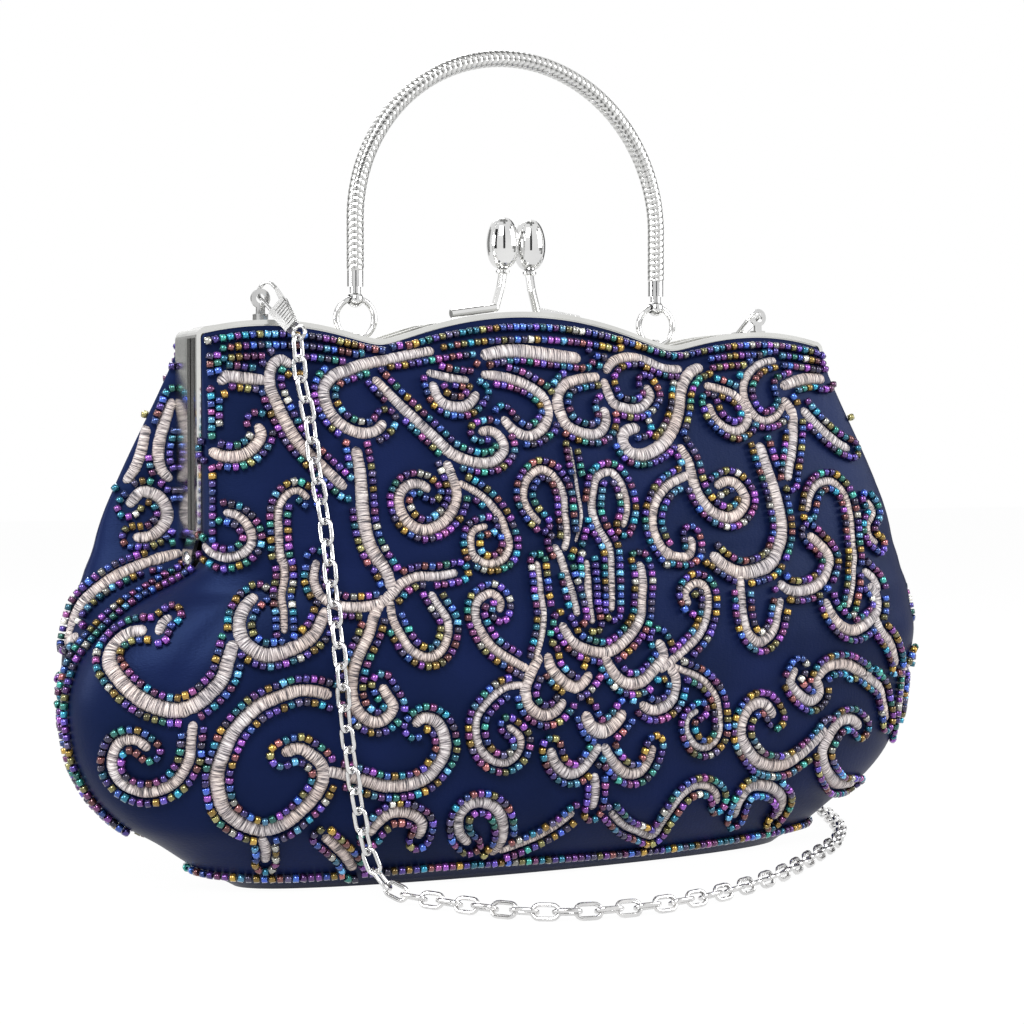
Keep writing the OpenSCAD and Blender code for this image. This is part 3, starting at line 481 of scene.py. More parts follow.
# Snap hooks: bent wire with a ribbed cast sleeve, a thin sprung gate on its own pin,
# and a closed eye that swivels in the sleeve's foot.
hook_plate = plated("hook_silver", (0.74, 0.74, 0.73), (0.5, 0.5, 0.5), 0.15)
sleeve_plate = plated("sleeve_silver", (0.66, 0.66, 0.65), (0.35, 0.35, 0.35), 0.2)
for hand in ("left", "right"):
    dress(hook_plate, "strap_metal", hand + "_hook", hand + "_hook_gate")
    dress(hook_plate, "strap_metal", hand + "_gate_pin", hand + "_hook_eye")
    dress(sleeve_plate, "strap_metal", hand + "_hook_sleeve")


# Snake chain: folded scales threaded edge to edge on the core wire, drawn tight into a
# 5 mm tube. Two rows of slanting scales meet in a seam that winds slowly inwards; the seam
# and the hollows between scales are darkened with painted shade.
arch_middle = Vector((0, 4, 188.2))
arch_radius, arch_foot, tube_radius = 49.3, 173.27, 2.5
scale_pitch, scale_slant, scale_depth, seam_depth = 1.75, 1.5, 0.34, 0.3
scale_rise, scale_fall, scale_sharp, scale_foot = 0.12, 0.55, 1.5, 0.25
seam_wide, seam_start, seam_wind = 0.06, 25, 65
end_length, end_depth, ring_step, around = 0.4, 0.2, 0.26, 32
leg_length = arch_middle.z - arch_foot
tube_length = 2 * leg_length + math.pi * arch_radius
rings = int(tube_length / ring_step)
bm = bmesh.new()
cut = bmesh.ops.create_circle(bm, segments=around, radius=tube_radius * mm)["verts"]
edges = list({e for v in cut for e in v.link_edges})
tube = [cut]
for i in range(rings):
    more = bmesh.ops.extrude_edge_only(bm, edges=edges)["geom"]
    tube.append([g for g in more if isinstance(g, bmesh.types.BMVert)])
    edges = [g for g in more if isinstance(g, bmesh.types.BMEdge)]
    new = set(tube[-1])
    edges = [e for e in edges if e.verts[0] in new and e.verts[1] in new]
for i, ring in enumerate(tube):
    s = tube_length * i / rings
    bend = min(max((s - leg_length) / arch_radius, 0), math.pi)
    drop = max(leg_length - s, 0) + max(s - tube_length + leg_length, 0)
    out = Vector((-math.cos(bend), 0, math.sin(bend)))
    heart = arch_middle + out * arch_radius - Vector((0, 0, drop))
    seam = math.radians(seam_start - seam_wind * bend / math.pi)
    capped = not end_length < s < tube_length - end_length
    for v in ring:
        turn = math.atan2(v.co.y, v.co.x)
        off = (turn + math.pi) % math.pi / math.pi
        slope = 1 - abs(2 * off - 1)
        tooth = ((s + scale_slant * slope) / scale_pitch) % 1
        depth = scale_depth * max(0, 1 - tooth / scale_fall) ** scale_sharp
        depth *= min(1, tooth / scale_rise + scale_foot)
        depth += seam_depth * max(0, 1 - min(off, 1 - off) / seam_wide)
        r = tube_radius - (end_depth if capped else depth)
        face = turn - seam
        round_it = out * -math.sin(face) + Vector((0, -1, 0)) * math.cos(face)
        v.co = (heart + round_it * r) * mm
bmesh.ops.holes_fill(bm, edges=[e for e in bm.edges if e.is_boundary], sides=around)
bmesh.ops.recalc_face_normals(bm, faces=bm.faces)
for f in bm.faces:
    f.smooth = len(f.verts) == 4
snake_plate, snake_shader = finish_of("snake_silver", metallic=1.0, roughness=0.17)
# Painted shade: the scales' hollows and the seam are coloured near black by the surface's
# curvature, and the ridges are coloured lighter.
curvature_shade = step(snake_plate, "NewGeometry")
colour_by(
    snake_plate, snake_shader, curvature_shade.outputs["Pointiness"],
    (0.45, (0.03, 0.03, 0.03)), (0.5, (0.50, 0.50, 0.49)), (0.55, (0.80, 0.80, 0.79)),
)
relief(snake_plate, snake_shader, speckle(snake_plate, 700, 3), 0.1, 0.00005)
snake_scales = settle("snake_scales", bm, snake_plate)
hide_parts("snake_chain")
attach(snake_scales, "handle")


# Pouch: two satin panels sewn together below the hinges and round the base, and each
# pressed into its frame half above them. One side billows out past the frame's edge.
# Rows up the panel, from the base (0) past the hinges (1) to the rim (2): how far the
# edge, the fullest width and the depth stand out towards the belly.
panel_rows = np.array([
    (0, -0.33, -0.33, 0.385), (0.035, -0.13, -0.13, 0.50), (0.08, 0.05, 0.05, 0.63),
    (0.14, 0.27, 0.27, 0.76), (0.22, 0.60, 0.60, 0.885), (0.32, 0.83, 0.83, 0.95),
    (0.44, 0.96, 0.96, 1), (0.57, 1, 1, 0.985), (0.69, 0.93, 0.955, 0.95),
    (0.79, 0.73, 0.90, 0.90), (0.87, 0.48, 0.86, 0.85), (0.93, 0.20, 0.79, 0.80),
    (0.975, 0.04, 0.75, 0.755), (1, 0, 0.72, 0.73), (1.06, 0, 0.68, 0.70),
    (1.12, 0, 0.65, 0.665), (1.22, 0, 0.585, 0.61), (1.34, 0, 0.49, 0.54),
    (1.48, 0, 0.38, 0.455), (1.62, 0, 0.27, 0.36), (1.76, 0, 0.16, 0.25),
    (1.88, 0, 0.07, 0.14), (1.96, 0, 0.02, 0.04), (2, 0, 0, 0),
])
hinge_z, mouth_z, frame_half, frame_depth = 91.5, 151.85, 101, 10
edge_x, belly_x, belly_y = 99.65, 135, 36
peak_z, hump_z, valley_z, dip_x, hump_x = 162, 157.7, 151.2, 46.965, 78.982
slot_z, slot_rise, slot_y = 83, 15, 0.15
soft_low, soft_high = 70, 112
satin_inset, lining_inset, corner_r, dip_soft = 1.65, 2.95, 3, 2
waist_share, roll_gap, roll_cols, long_share = 0.35, 0.225, 24, 1.9
front_round, side_push, big_swell, small_swell = 0.8, 0.6, 0.5, 0.3
crease_u, crease_lean, crease_wide, crease_deep = -0.70, 0.12, 0.035, 0.7


def ease(x, low, high):
    """From 0 at low to 1 at high, soft at both ends."""
    t = np.clip((x - low) / (high - low), 0, 1)
    return t * t * (3 - 2 * t)


def row_share(v, column):
    """A share at height v, on a smooth curve through the rows that never overshoots."""
    x, y = panel_rows[:, 0], panel_rows[:, column]
    rise = np.diff(y) / np.diff(x)
    lean = np.zeros(len(x))
    a, b = rise[:-1], rise[1:]
    lean[1:-1] = np.where(a * b > 0, 2 * a * b / np.where(a + b == 0, 1, a + b), 0)
    i = np.clip(np.searchsorted(x, v, side="right") - 1, 0, len(x) - 2)
    h = x[i + 1] - x[i]
    t = (v - x[i]) / h
    return (
        y[i] * (1 + 2 * t) * (1 - t) ** 2 + lean[i] * h * t * (1 - t) ** 2
        + y[i + 1] * t * t * (3 - 2 * t) + lean[i + 1] * h * t * t * (t - 1)
    )


def rim_z(x, inset):
    """Height of the frame's waved edge, set in, with its round corners."""
    def edge(x):
        a = peak_z - (peak_z - valley_z) / dip_x**2 * x**2
        b = hump_z - (hump_z - valley_z) / (hump_x - dip_x) ** 2 * (np.abs(x) - hump_x) ** 2
        return (a + b) / 2 + np.sqrt(((a - b) / 2) ** 2 + dip_soft**2)
    r = max(corner_r - inset, 0.5)
    corner = frame_half - inset - r
    past = np.maximum(np.abs(x) - corner, 0)
    drop = edge(corner) - inset - r + np.sqrt(np.maximum(r * r - past**2, 0))
    return np.where(np.abs(x) <= corner, edge(x) - inset, drop)


def height_at(v):
    """Height in the bag, from the base past the hinges to the mouth."""
    return np.where(v <= 1, v * hinge_z, hinge_z + (v - 1) * (mouth_z - hinge_z))


def slot_at(z):
    """How far the panel's edge stands from the middle: nothing below the hinges, and
    the frame half's depth above them."""
    turn = np.clip((z - slot_z) / slot_rise, 0, 1) * math.pi / 2
    return slot_y + (frame_depth - slot_y) * np.sin(turn)


def folds(u, v):
    """Soft dents and swells of the satin between the frame and the base, and a crease
    that leans up the left side."""
    room = ease(1.8 - v, 0, 0.5) * ease(v, 0, 0.25) * ease(1 - np.abs(u), 0, 0.14)
    swell = big_swell * np.sin(6.1 * u + 2.2 * v + 0.7) * np.sin(3.4 * v + 1.9 * u)
    swell += small_swell * np.sin(12.7 * u - 3.1 * v) * np.cos(5.2 * v + 2.3 * u)
    crease = -crease_deep * np.exp(-(((u - crease_u - crease_lean * v) / crease_wide) ** 2))
    crease *= ease(v, 0.3, 0.7) * ease(1.2 - v, 0, 0.4)
    return room * (swell + crease)


def pouch(u, v, s=0.0):
    """Point of the front satin, s under its face: u from side to side, v upwards."""
    u, v = np.broadcast_arrays(np.asarray(u, float), np.asarray(v, float))
    z = height_at(v)
    slot = slot_at(z)
    edge, bulge, deep = (row_share(v, k) for k in (1, 2, 3))
    open_ = ease(v, 0.93, 1.06)
    out = (belly_x - edge_x) * edge + edge_x
    billow = (u > 0) & (bulge > edge + 1e-4)
    full = np.where(billow, (belly_x - edge_x) * bulge + edge_x, out)
    side = slot + np.where(billow, open_ * roll_gap, 0)
    front = np.maximum(frame_depth + (belly_y - frame_depth) * deep, side)
    spread = waist_share * ease(v, 0.5, 0.76) * ease(2 - v, 0, 0.07)
    last = math.pi - np.arcsin(np.minimum(out / full, 1))
    roll = np.where(billow, 1 - open_ / roll_cols, 1)
    a = np.minimum(np.abs(u) / roll, 1) * np.where(billow, last, math.pi / 2)
    soft = slot_y + (frame_depth - slot_y) * ease(z, soft_low, soft_high)
    side = np.where(billow, np.where(z < soft_high, soft, side), side)
    waist = np.where(billow, side + (front - side) * spread, side)
    x = np.sign(u) * full * np.sin(a)
    near = waist + (front - waist) * np.maximum(np.cos(a), 0) ** front_round
    back = waist + (side - waist) * np.cos(a) / np.cos(last)
    y = np.where(a <= math.pi / 2, near, back)
    y = np.where(np.abs(u) > roll, slot + (side - slot) * (1 - np.abs(u)) * roll_cols, y)
    lift = np.maximum(0, (v - 1.5) / 0.5)
    z = z + (rim_z(x, satin_inset) - mouth_z) * lift * lift
    out_by = folds(u, v) - s
    flat_x = x / long_share
    ring = np.hypot(flat_x, y) + 1e-6
    x = x + out_by * flat_x / ring * side_push
    return np.stack([x, -y - out_by * y / ring, z], -1)


def cloth_piece(name, shape, cols, rows, thick, material, back=False):
    """A cut of cloth laid over the shape, with its wall turned inwards."""
    bm = bmesh.new()
    bmesh.ops.create_grid(bm, x_segments=cols, y_segments=rows, size=1)
    bm.verts.ensure_lookup_table()
    uv = np.array([v.co[:2] for v in bm.verts])
    points = shape(uv[:, 0], uv[:, 1]) * mm * ((-1, -1, 1) if back else (1, 1, 1))
    for v, p in zip(bm.verts, points):
        v.co = p
    for f in bm.faces:
        f.smooth = True
    made = settle(name, bm, material)
    wall = made.modifiers.new("wall", "SOLIDIFY")
    wall.thickness, wall.offset = thick * mm, -1
    return made


satin, satin_shader = finish_of(
    "navy_satin", roughness=0.42, Specular_IOR_Level=0.16,
    Specular_Tint=(0.25, 0.42, 1, 1),
)
sway = speckle(satin, 28, 4)
colour_by(satin, satin_shader, sway, (0.3, (0.002, 0.0045, 0.020)), (0.7, (0.004, 0.0075, 0.036)))
warp = speckle(satin, 900, 3, stretch=(1, 1, 0.3))
weft = speckle(satin, 2600, 1, stretch=(0.4, 0.4, 1))
weave = step(satin, "Math", operation="ADD")
join(satin, warp, weave.inputs[0])
join(satin, weft, weave.inputs[1])
relief(satin, satin_shader, weave.outputs[0], 0.35, 0.00012)

satin_cols, satin_rows, satin_thick = 190, 120, 1.1


def panel_face(u, v):
    """The whole panel, with v from -1 at the base to 1 at the rim."""
    return pouch(u, v + 1)


front_satin = cloth_piece("front_satin", panel_face, satin_cols, satin_rows, satin_thick, satin)
rear_satin = cloth_piece(
    "rear_satin", panel_face, satin_cols, satin_rows, satin_thick, satin, back=True
)
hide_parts("front_panel")
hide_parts("rear_panel")


def finish_front(piece):
    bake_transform(piece)


def finish_rear(piece):
    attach(piece, "root")


finish_front(front_satin)
finish_rear(rear_satin)


# Base: a satin-covered card sewn in under the pouch, with its edge turned over, and
# a grey card stiffener above it.
base_low, base_high, base_edge, base_share = 0.4, 1.4, 4, 0.985
rim_u = np.linspace(-1, 1, 61)


def both_halves(half):
    """The whole outline from the front half's points."""
    return np.concatenate([half, -half[1:-1]])


def raised(bm, height):
    """Draws all faces of a flat piece up by the height."""
    top = bmesh.ops.extrude_face_region(bm, geom=list(bm.faces))["geom"]
    moved = [g for g in top if isinstance(g, bmesh.types.BMVert)]
    bmesh.ops.translate(bm, vec=(0, 0, height * mm), verts=moved)
    bmesh.ops.recalc_face_normals(bm, faces=bm.faces)


bm = bmesh.new()
outline = both_halves(pouch(rim_u, 0 * rim_u)[:, :2] * base_share)
sole = bm.faces.new([bm.verts.new((*(p * mm), base_low * mm)) for p in outline])
bmesh.ops.inset_region(bm, faces=[sole], thickness=base_edge * mm)
bmesh.ops.translate(bm, vec=(0, 0, -base_low * mm), verts=sole.verts)
raised(bm, base_high)
base_cloth = settle("base_cloth", bm, satin)
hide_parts("base_panel")
finish_rear(base_cloth)
card, card_shader = finish_of("grey_card", roughness=0.8)
card_tones = (0.2, (0.2, 0.18, 0.15)), (0.8, (0.33, 0.30, 0.26))
colour_by(card, card_shader, speckle(card, 200, 4), *card_tones)
dress(card, "stiffener", "base_board")


# Lining: two dark cloths tucked behind the frame's inner flange, a floor between them
# and a slip pocket on the rear one, all of plain twill sewn in by hand.
twill, twill_shader = finish_of(
    "dark_lining", roughness=0.7, Sheen_Weight=0.2, Sheen_Roughness=0.5
)
twill_tones = (0.3, (0.018, 0.018, 0.026)), (0.7, (0.03, 0.03, 0.042))
colour_by(twill, twill_shader, speckle(twill, 60, 3), *twill_tones)
relief(twill, twill_shader, speckle(twill, 1400, 2, stretch=(1, 1, 0.35)), 0.4, 0.0001)
lining_under, free_x, free_u, tuck_low, tuck_high = 2.9, 91.7, 0.9, 1.80, 1.88
lining_low, pocket_low, pocket_wide, pocket_under = 0.035, 0.44, 0.45, 4.15
lining_cut, pocket_cut = (90, 70, 0.7), (40, 24, 0.5)


def lining_at(u, v, under=lining_under):
    """The lining's face: it follows the satin low down and tucks in at the frame."""
    low = pouch(u, v, under)
    z = height_at(v)
    slot = slot_at(z)
    side = np.maximum(slot - under, 0.2)
    front = np.maximum(frame_depth + (belly_y - frame_depth) * row_share(v, 3) - under, side)
    front = front + (side - front) * ease(v, tuck_low, tuck_high)
    a = math.pi / 2 * np.clip(np.abs(u) / free_u, 0, 1)
    flat = np.clip((np.abs(u) - free_u) / (1 - free_u), 0, 1)
    reach = free_x - (under - lining_under)
    x = np.sign(u) * (reach * np.sin(a) + (edge_x - (lining_inset - satin_inset) - reach) * flat)
    y = side + (front - side) * np.maximum(np.cos(a), 0) ** front_round
    lift = np.maximum(0, (v - 1.5) / 0.5)
    z = z + (rim_z(x, lining_inset) - mouth_z) * lift * lift
    high = np.stack([x, -y, z], -1)
    t = ease(v, 0.9, 1.02)[..., None]
    return low * (1 - t) + high * t


def lining_face(u, v):
    return lining_at(u, lining_low + (v + 1) / 2 * (2 - lining_low))


def pocket_face(u, v):
    return lining_at(u * pocket_wide, pocket_low + (v + 1) / 2 * (1 - pocket_low), pocket_under)


front_twill = cloth_piece("front_twill", lining_face, *lining_cut, twill)
rear_twill = cloth_piece("rear_twill", lining_face, *lining_cut, twill, back=True)
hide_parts("front_lining")
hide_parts("rear_lining")
finish_front(front_twill)
finish_rear(rear_twill)
pocket_twill = cloth_piece("pocket_twill", pocket_face, *pocket_cut, twill, back=True)
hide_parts("slip_pocket")
finish_rear(pocket_twill)
floor_z, floor_thick, floor_under = lining_low * hinge_z + 0.2, 0.7, 4.1
bm = bmesh.new()
outline = both_halves(lining_at(rim_u, 0 * rim_u + lining_low, floor_under)[:, :2])
bm.faces.new([bm.verts.new((*(p * mm), floor_z * mm)) for p in outline])
raised(bm, floor_thick)
floor_twill = settle("floor_twill", bm, twill)
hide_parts("lining_floor")
finish_rear(floor_twill)


# Scroll embroidery: padded satin stitch in grey-white and pinkish rayon, worked over a
# cord so that it stands about 1 mm off the satin. Each scroll: its width in mm, then
# points (u, v) on the panel.
scrolls = [
    (3.6, [(-0.538, 1.85), (-0.571, 1.875), (-0.6, 1.845), (-0.61, 1.78), (-0.595, 1.71),
        (-0.571, 1.625), (-0.543, 1.545), (-0.505, 1.47), (-0.467, 1.4), (-0.429, 1.325)]),
    (3.6, [(-0.814, 1.785), (-0.771, 1.815), (-0.695, 1.805), (-0.619, 1.795)]),
    (3.5, [(-0.9, 1.505), (-0.795, 1.475), (-0.724, 1.48), (-0.676, 1.515), (-0.648, 1.57),
        (-0.662, 1.62)]),
    (2.7, [(-0.819, 1.225), (-0.762, 1.215), (-0.724, 1.185), (-0.7, 1.13), (-0.705, 1.075),
        (-0.743, 1.035), (-0.8, 1.02), (-0.886, 1.04), (-0.981, 1.08)]),
    (2.4, [(-0.519, 1.28), (-0.548, 1.32), (-0.581, 1.3), (-0.605, 1.24), (-0.61, 1.135),
        (-0.605, 1.01), (-0.548, 0.93), (-0.486, 0.86), (-0.452, 0.79)]),
    (4.0, [(-0.586, 0.905), (-0.576, 0.865), (-0.557, 0.825), (-0.529, 0.78), (-0.5, 0.75),
        (-0.467, 0.73), (-0.438, 0.74), (-0.414, 0.76), (-0.4, 0.79), (-0.4, 0.83),
        (-0.405, 0.865)]),
    (3.0, [(-0.514, 1.01), (-0.5, 0.96), (-0.452, 0.91), (-0.41, 0.88), (-0.371, 0.865),
        (-0.338, 0.865), (-0.314, 0.875), (-0.305, 0.9), (-0.3, 0.93), (-0.276, 0.95),
        (-0.238, 0.95), (-0.2, 0.96)]),
    (3.9, [(-0.4, 1.52), (-0.395, 1.41), (-0.395, 1.29), (-0.395, 1.185), (-0.386, 1.08),
        (-0.367, 1.005), (-0.333, 0.95), (-0.305, 0.905)]),
    (3.6, [(-0.329, 1.64), (-0.348, 1.595), (-0.381, 1.58), (-0.419, 1.605), (-0.448, 1.655),
        (-0.462, 1.715), (-0.462, 1.77), (-0.438, 1.82), (-0.395, 1.86), (-0.338, 1.91),
        (-0.286, 1.93), (-0.205, 1.925)]),
    (4.4, [(-0.114, 1.88), (-0.071, 1.89), (-0.033, 1.89), (0.014, 1.88), (0.048, 1.875),
        (0.076, 1.875)]),
    (3.4, [(-0.343, 1.84), (-0.319, 1.78), (-0.29, 1.705), (-0.257, 1.625), (-0.224, 1.55),
        (-0.195, 1.485), (-0.152, 1.445), (-0.114, 1.45), (-0.09, 1.505), (-0.095, 1.56),
        (-0.114, 1.59), (-0.138, 1.58)]),
    (3.3, [(-0.21, 1.455), (-0.2, 1.375), (-0.195, 1.29), (-0.21, 1.21), (-0.238, 1.155),
        (-0.271, 1.135), (-0.3, 1.17), (-0.314, 1.23), (-0.314, 1.29), (-0.295, 1.34),
        (-0.267, 1.345), (-0.248, 1.31)]),
    (2.5, [(-0.19, 1.355), (-0.157, 1.31), (-0.133, 1.26), (-0.114, 1.195), (-0.105, 1.13),
        (-0.1, 1.06), (-0.114, 1), (-0.143, 0.985), (-0.171, 1.01), (-0.176, 1.075),
        (-0.167, 1.13), (-0.138, 1.15)]),
    (3.4, [(-0.219, 1.805), (-0.214, 1.745), (-0.2, 1.705), (-0.171, 1.69), (-0.148, 1.705),
        (-0.129, 1.75)]),
    (3.4, [(-0.119, 1.815), (-0.071, 1.8), (-0.029, 1.77), (0, 1.725), (0.005, 1.655),
        (-0.01, 1.595), (-0.038, 1.565), (-0.067, 1.595), (-0.086, 1.65)]),
    (3.5, [(0.1, 1.815), (0.067, 1.8), (0.038, 1.775), (0.024, 1.725), (0.024, 1.665),
        (0.033, 1.605), (0.057, 1.575), (0.076, 1.585), (0.09, 1.64), (0.09, 1.695)]),
    (3.3, [(0.11, 1.83), (0.133, 1.88), (0.167, 1.91), (0.2, 1.915), (0.233, 1.9), (0.276, 1.91)]),
    (3.2, [(0.105, 1.81), (0.105, 1.76), (0.11, 1.71), (0.129, 1.69), (0.152, 1.7), (0.176, 1.755),
        (0.176, 1.805)]),
    (4.1, [(0.319, 1.905), (0.281, 1.88), (0.243, 1.805), (0.214, 1.695), (0.186, 1.595),
        (0.157, 1.52), (0.129, 1.48), (0.11, 1.49), (0.105, 1.545), (0.114, 1.59), (0.138, 1.61)]),
    (3.6, [(0.186, 1.53), (0.19, 1.445), (0.186, 1.355), (0.186, 1.275), (0.195, 1.205),
        (0.214, 1.17), (0.233, 1.19), (0.252, 1.255), (0.252, 1.32), (0.238, 1.35), (0.214, 1.32)]),
    (3.2, [(0.186, 1.385), (0.162, 1.355), (0.143, 1.32), (0.124, 1.25), (0.114, 1.165),
        (0.114, 1.08), (0.124, 1.01), (0.148, 0.99), (0.157, 1.02), (0.157, 1.085)]),
    (3.0, [(0.29, 1.815), (0.314, 1.795), (0.338, 1.76), (0.343, 1.7), (0.329, 1.635),
        (0.3, 1.595), (0.281, 1.61), (0.271, 1.66), (0.276, 1.73)]),
    (2.7, [(0.519, 1.91), (0.462, 1.895), (0.405, 1.85), (0.367, 1.785), (0.352, 1.705),
        (0.362, 1.645), (0.4, 1.66), (0.443, 1.72)]),
    (3.7, [(0.452, 1.75), (0.452, 1.685), (0.424, 1.6), (0.39, 1.5), (0.362, 1.415),
        (0.343, 1.345)]),
    (3.7, [(0.467, 1.795), (0.533, 1.825), (0.61, 1.845), (0.7, 1.85)]),
    (3.4, [(0.49, 1.705), (0.5, 1.64), (0.519, 1.575), (0.548, 1.525), (0.581, 1.505)]),
    (4.5, [(0.181, 1), (0.2, 0.96), (0.224, 0.935), (0.248, 0.94), (0.267, 0.96), (0.276, 1.005),
        (0.29, 1.105), (0.3, 1.215), (0.31, 1.325), (0.319, 1.44), (0.329, 1.54)]),
    (2.8, [(0.348, 1.19), (0.371, 1.27), (0.405, 1.33), (0.443, 1.34), (0.457, 1.28),
        (0.443, 1.175), (0.424, 1.045), (0.429, 0.945), (0.438, 0.865), (0.448, 0.805)]),
    (3.7, [(0.386, 0.84), (0.41, 0.795), (0.448, 0.75), (0.49, 0.73), (0.519, 0.75), (0.538, 0.79),
        (0.519, 0.84), (0.481, 0.88)]),
    (3.6, [(0.333, 1.08), (0.352, 1.025), (0.371, 0.965), (0.367, 0.905), (0.348, 0.875),
        (0.314, 0.87), (0.286, 0.9)]),
    (2.5, [(0.524, 1.245), (0.529, 1.185), (0.486, 1.12), (0.481, 1.055), (0.505, 1.02)]),
    (2.8, [(0.457, 0.93), (0.495, 0.895), (0.524, 0.85)]),
    (3.3, [(0.224, 0.93), (0.233, 0.865), (0.248, 0.795), (0.267, 0.74), (0.295, 0.71),
        (0.31, 0.74), (0.305, 0.8), (0.3, 0.85)]),
    (3.6, [(0.386, 0.62), (0.381, 0.58), (0.4, 0.535), (0.429, 0.505), (0.452, 0.53),
        (0.443, 0.58), (0.457, 0.615), (0.5, 0.62), (0.548, 0.595), (0.643, 0.53), (0.676, 0.47),
        (0.714, 0.405)]),
    (3.4, [(0.529, 0.785), (0.571, 0.73), (0.633, 0.68), (0.676, 0.635), (0.71, 0.595)]),
    (4.0, [(0.595, 0.395), (0.552, 0.43), (0.514, 0.425), (0.495, 0.38), (0.495, 0.32),
        (0.548, 0.255), (0.648, 0.205), (0.8, 0.19)]),
    (3.9, [(0.352, 0.46), (0.333, 0.505), (0.31, 0.51), (0.29, 0.475), (0.286, 0.415),
        (0.31, 0.355), (0.343, 0.315), (0.395, 0.3), (0.429, 0.325), (0.457, 0.365),
        (0.481, 0.41)]),
    (2.3, [(0.148, 0.655), (0.171, 0.635), (0.2, 0.61), (0.224, 0.575), (0.238, 0.53),
        (0.243, 0.475), (0.243, 0.42), (0.229, 0.385), (0.205, 0.39), (0.186, 0.435),
        (0.186, 0.48), (0.205, 0.505)]),
    (2.9, [(0.162, 0.835), (0.152, 0.875), (0.162, 0.905), (0.176, 0.895), (0.186, 0.85),
        (0.19, 0.795), (0.186, 0.74), (0.171, 0.7), (0.152, 0.665), (0.133, 0.635)]),
    (3.4, [(-0.01, 0.8), (0.005, 0.74), (0.029, 0.71), (0.057, 0.705), (0.081, 0.745),
        (0.095, 0.8), (0.095, 0.86), (0.095, 0.93), (0.09, 0.98)]),
    (3.7, [(0.048, 0.695), (0.062, 0.64), (0.081, 0.605), (0.105, 0.605), (0.124, 0.64),
        (0.138, 0.685), (0.124, 0.735)]),
    (3.5, [(0.105, 0.54), (0.124, 0.515), (0.148, 0.525), (0.162, 0.56), (0.162, 0.61),
        (0.148, 0.65)]),
    (3.4, [(0.029, 0.645), (0.019, 0.615), (0.005, 0.6), (-0.014, 0.625), (-0.029, 0.665),
        (-0.033, 0.71)]),
    (3.4, [(-0.043, 0.705), (-0.057, 0.655), (-0.067, 0.6), (-0.062, 0.55), (-0.043, 0.52),
        (-0.024, 0.53), (-0.01, 0.565)]),
    (2.5, [(-0.067, 0.615), (-0.095, 0.61), (-0.119, 0.575), (-0.138, 0.52), (-0.138, 0.45),
        (-0.124, 0.4), (-0.1, 0.38), (-0.081, 0.405), (-0.076, 0.455), (-0.095, 0.495)]),
    (4.3, [(0.019, 0.525), (0.029, 0.475), (0.048, 0.46), (0.067, 0.485), (0.081, 0.52)]),
    (3.4, [(-0.033, 0.42), (-0.024, 0.37), (-0.005, 0.335), (0.014, 0.34), (0.029, 0.375),
        (0.043, 0.42)]),
    (3.4, [(0.048, 0.42), (0.062, 0.37), (0.086, 0.325), (0.11, 0.32), (0.124, 0.355),
        (0.129, 0.405)]),
    (3.1, [(0.038, 0.33), (0.043, 0.27), (0.043, 0.21)]),
    (2.5, [(-0.114, 0.09), (-0.071, 0.115), (-0.038, 0.14), (-0.01, 0.17), (0.014, 0.21)]),
    (2.6, [(0.076, 0.2), (0.114, 0.15), (0.157, 0.12), (0.195, 0.1), (0.195, 0.15), (0.195, 0.21),
        (0.21, 0.25), (0.233, 0.26), (0.267, 0.235), (0.29, 0.19)]),
    (3.6, [(0.376, 0.13), (0.343, 0.19), (0.343, 0.235), (0.381, 0.235), (0.433, 0.205),
        (0.5, 0.15), (0.524, 0.105)]),
    (3.3, [(-0.167, 0.125), (-0.181, 0.16), (-0.176, 0.215), (-0.157, 0.255), (-0.133, 0.26),
        (-0.114, 0.235), (-0.105, 0.185), (-0.11, 0.125), (-0.129, 0.08)]),
    (3.3, [(-0.338, 0.175), (-0.31, 0.215), (-0.281, 0.245), (-0.252, 0.24), (-0.238, 0.205),
        (-0.257, 0.155)]),
    (4.0, [(-0.348, 0.605), (-0.371, 0.62), (-0.4, 0.625), (-0.429, 0.61), (-0.462, 0.585),
        (-0.49, 0.545), (-0.514, 0.5), (-0.533, 0.445), (-0.552, 0.385), (-0.562, 0.325),
        (-0.567, 0.27), (-0.552, 0.23), (-0.524, 0.21), (-0.476, 0.225), (-0.438, 0.255),
        (-0.4, 0.3), (-0.376, 0.35), (-0.371, 0.4), (-0.386, 0.435), (-0.405, 0.455),
        (-0.433, 0.44)]),
    (3.8, [(-0.367, 0.385), (-0.338, 0.37), (-0.31, 0.35), (-0.281, 0.33), (-0.248, 0.33),
        (-0.219, 0.345), (-0.2, 0.38), (-0.186, 0.425), (-0.186, 0.475), (-0.195, 0.515),
        (-0.214, 0.53), (-0.229, 0.505)]),
    (3.5, [(-0.314, 0.895), (-0.314, 0.85), (-0.31, 0.79), (-0.314, 0.735), (-0.319, 0.675),
        (-0.319, 0.615), (-0.31, 0.56), (-0.29, 0.525), (-0.271, 0.53), (-0.257, 0.565),
        (-0.267, 0.605), (-0.276, 0.635)]),
    (2.7, [(-0.3, 0.885), (-0.281, 0.83), (-0.257, 0.775), (-0.238, 0.735), (-0.214, 0.71),
        (-0.195, 0.72), (-0.186, 0.76), (-0.19, 0.815), (-0.214, 0.865), (-0.238, 0.905)]),
    (2.8, [(-0.11, 0.835), (-0.11, 0.87), (-0.129, 0.895), (-0.148, 0.875), (-0.148, 0.83),
        (-0.133, 0.775), (-0.114, 0.73), (-0.086, 0.69), (-0.057, 0.655)]),
    (2.2, [(-0.048, 0.99), (-0.043, 0.9), (-0.038, 0.825), (-0.043, 0.75), (-0.052, 0.695)]),
    (2.6, [(-0.033, 1.155), (-0.052, 1.21), (-0.062, 1.28), (-0.052, 1.36), (-0.024, 1.41),
        (0, 1.38), (0.01, 1.3), (0.01, 1.205), (0.01, 1.1), (0.005, 1.025)]),
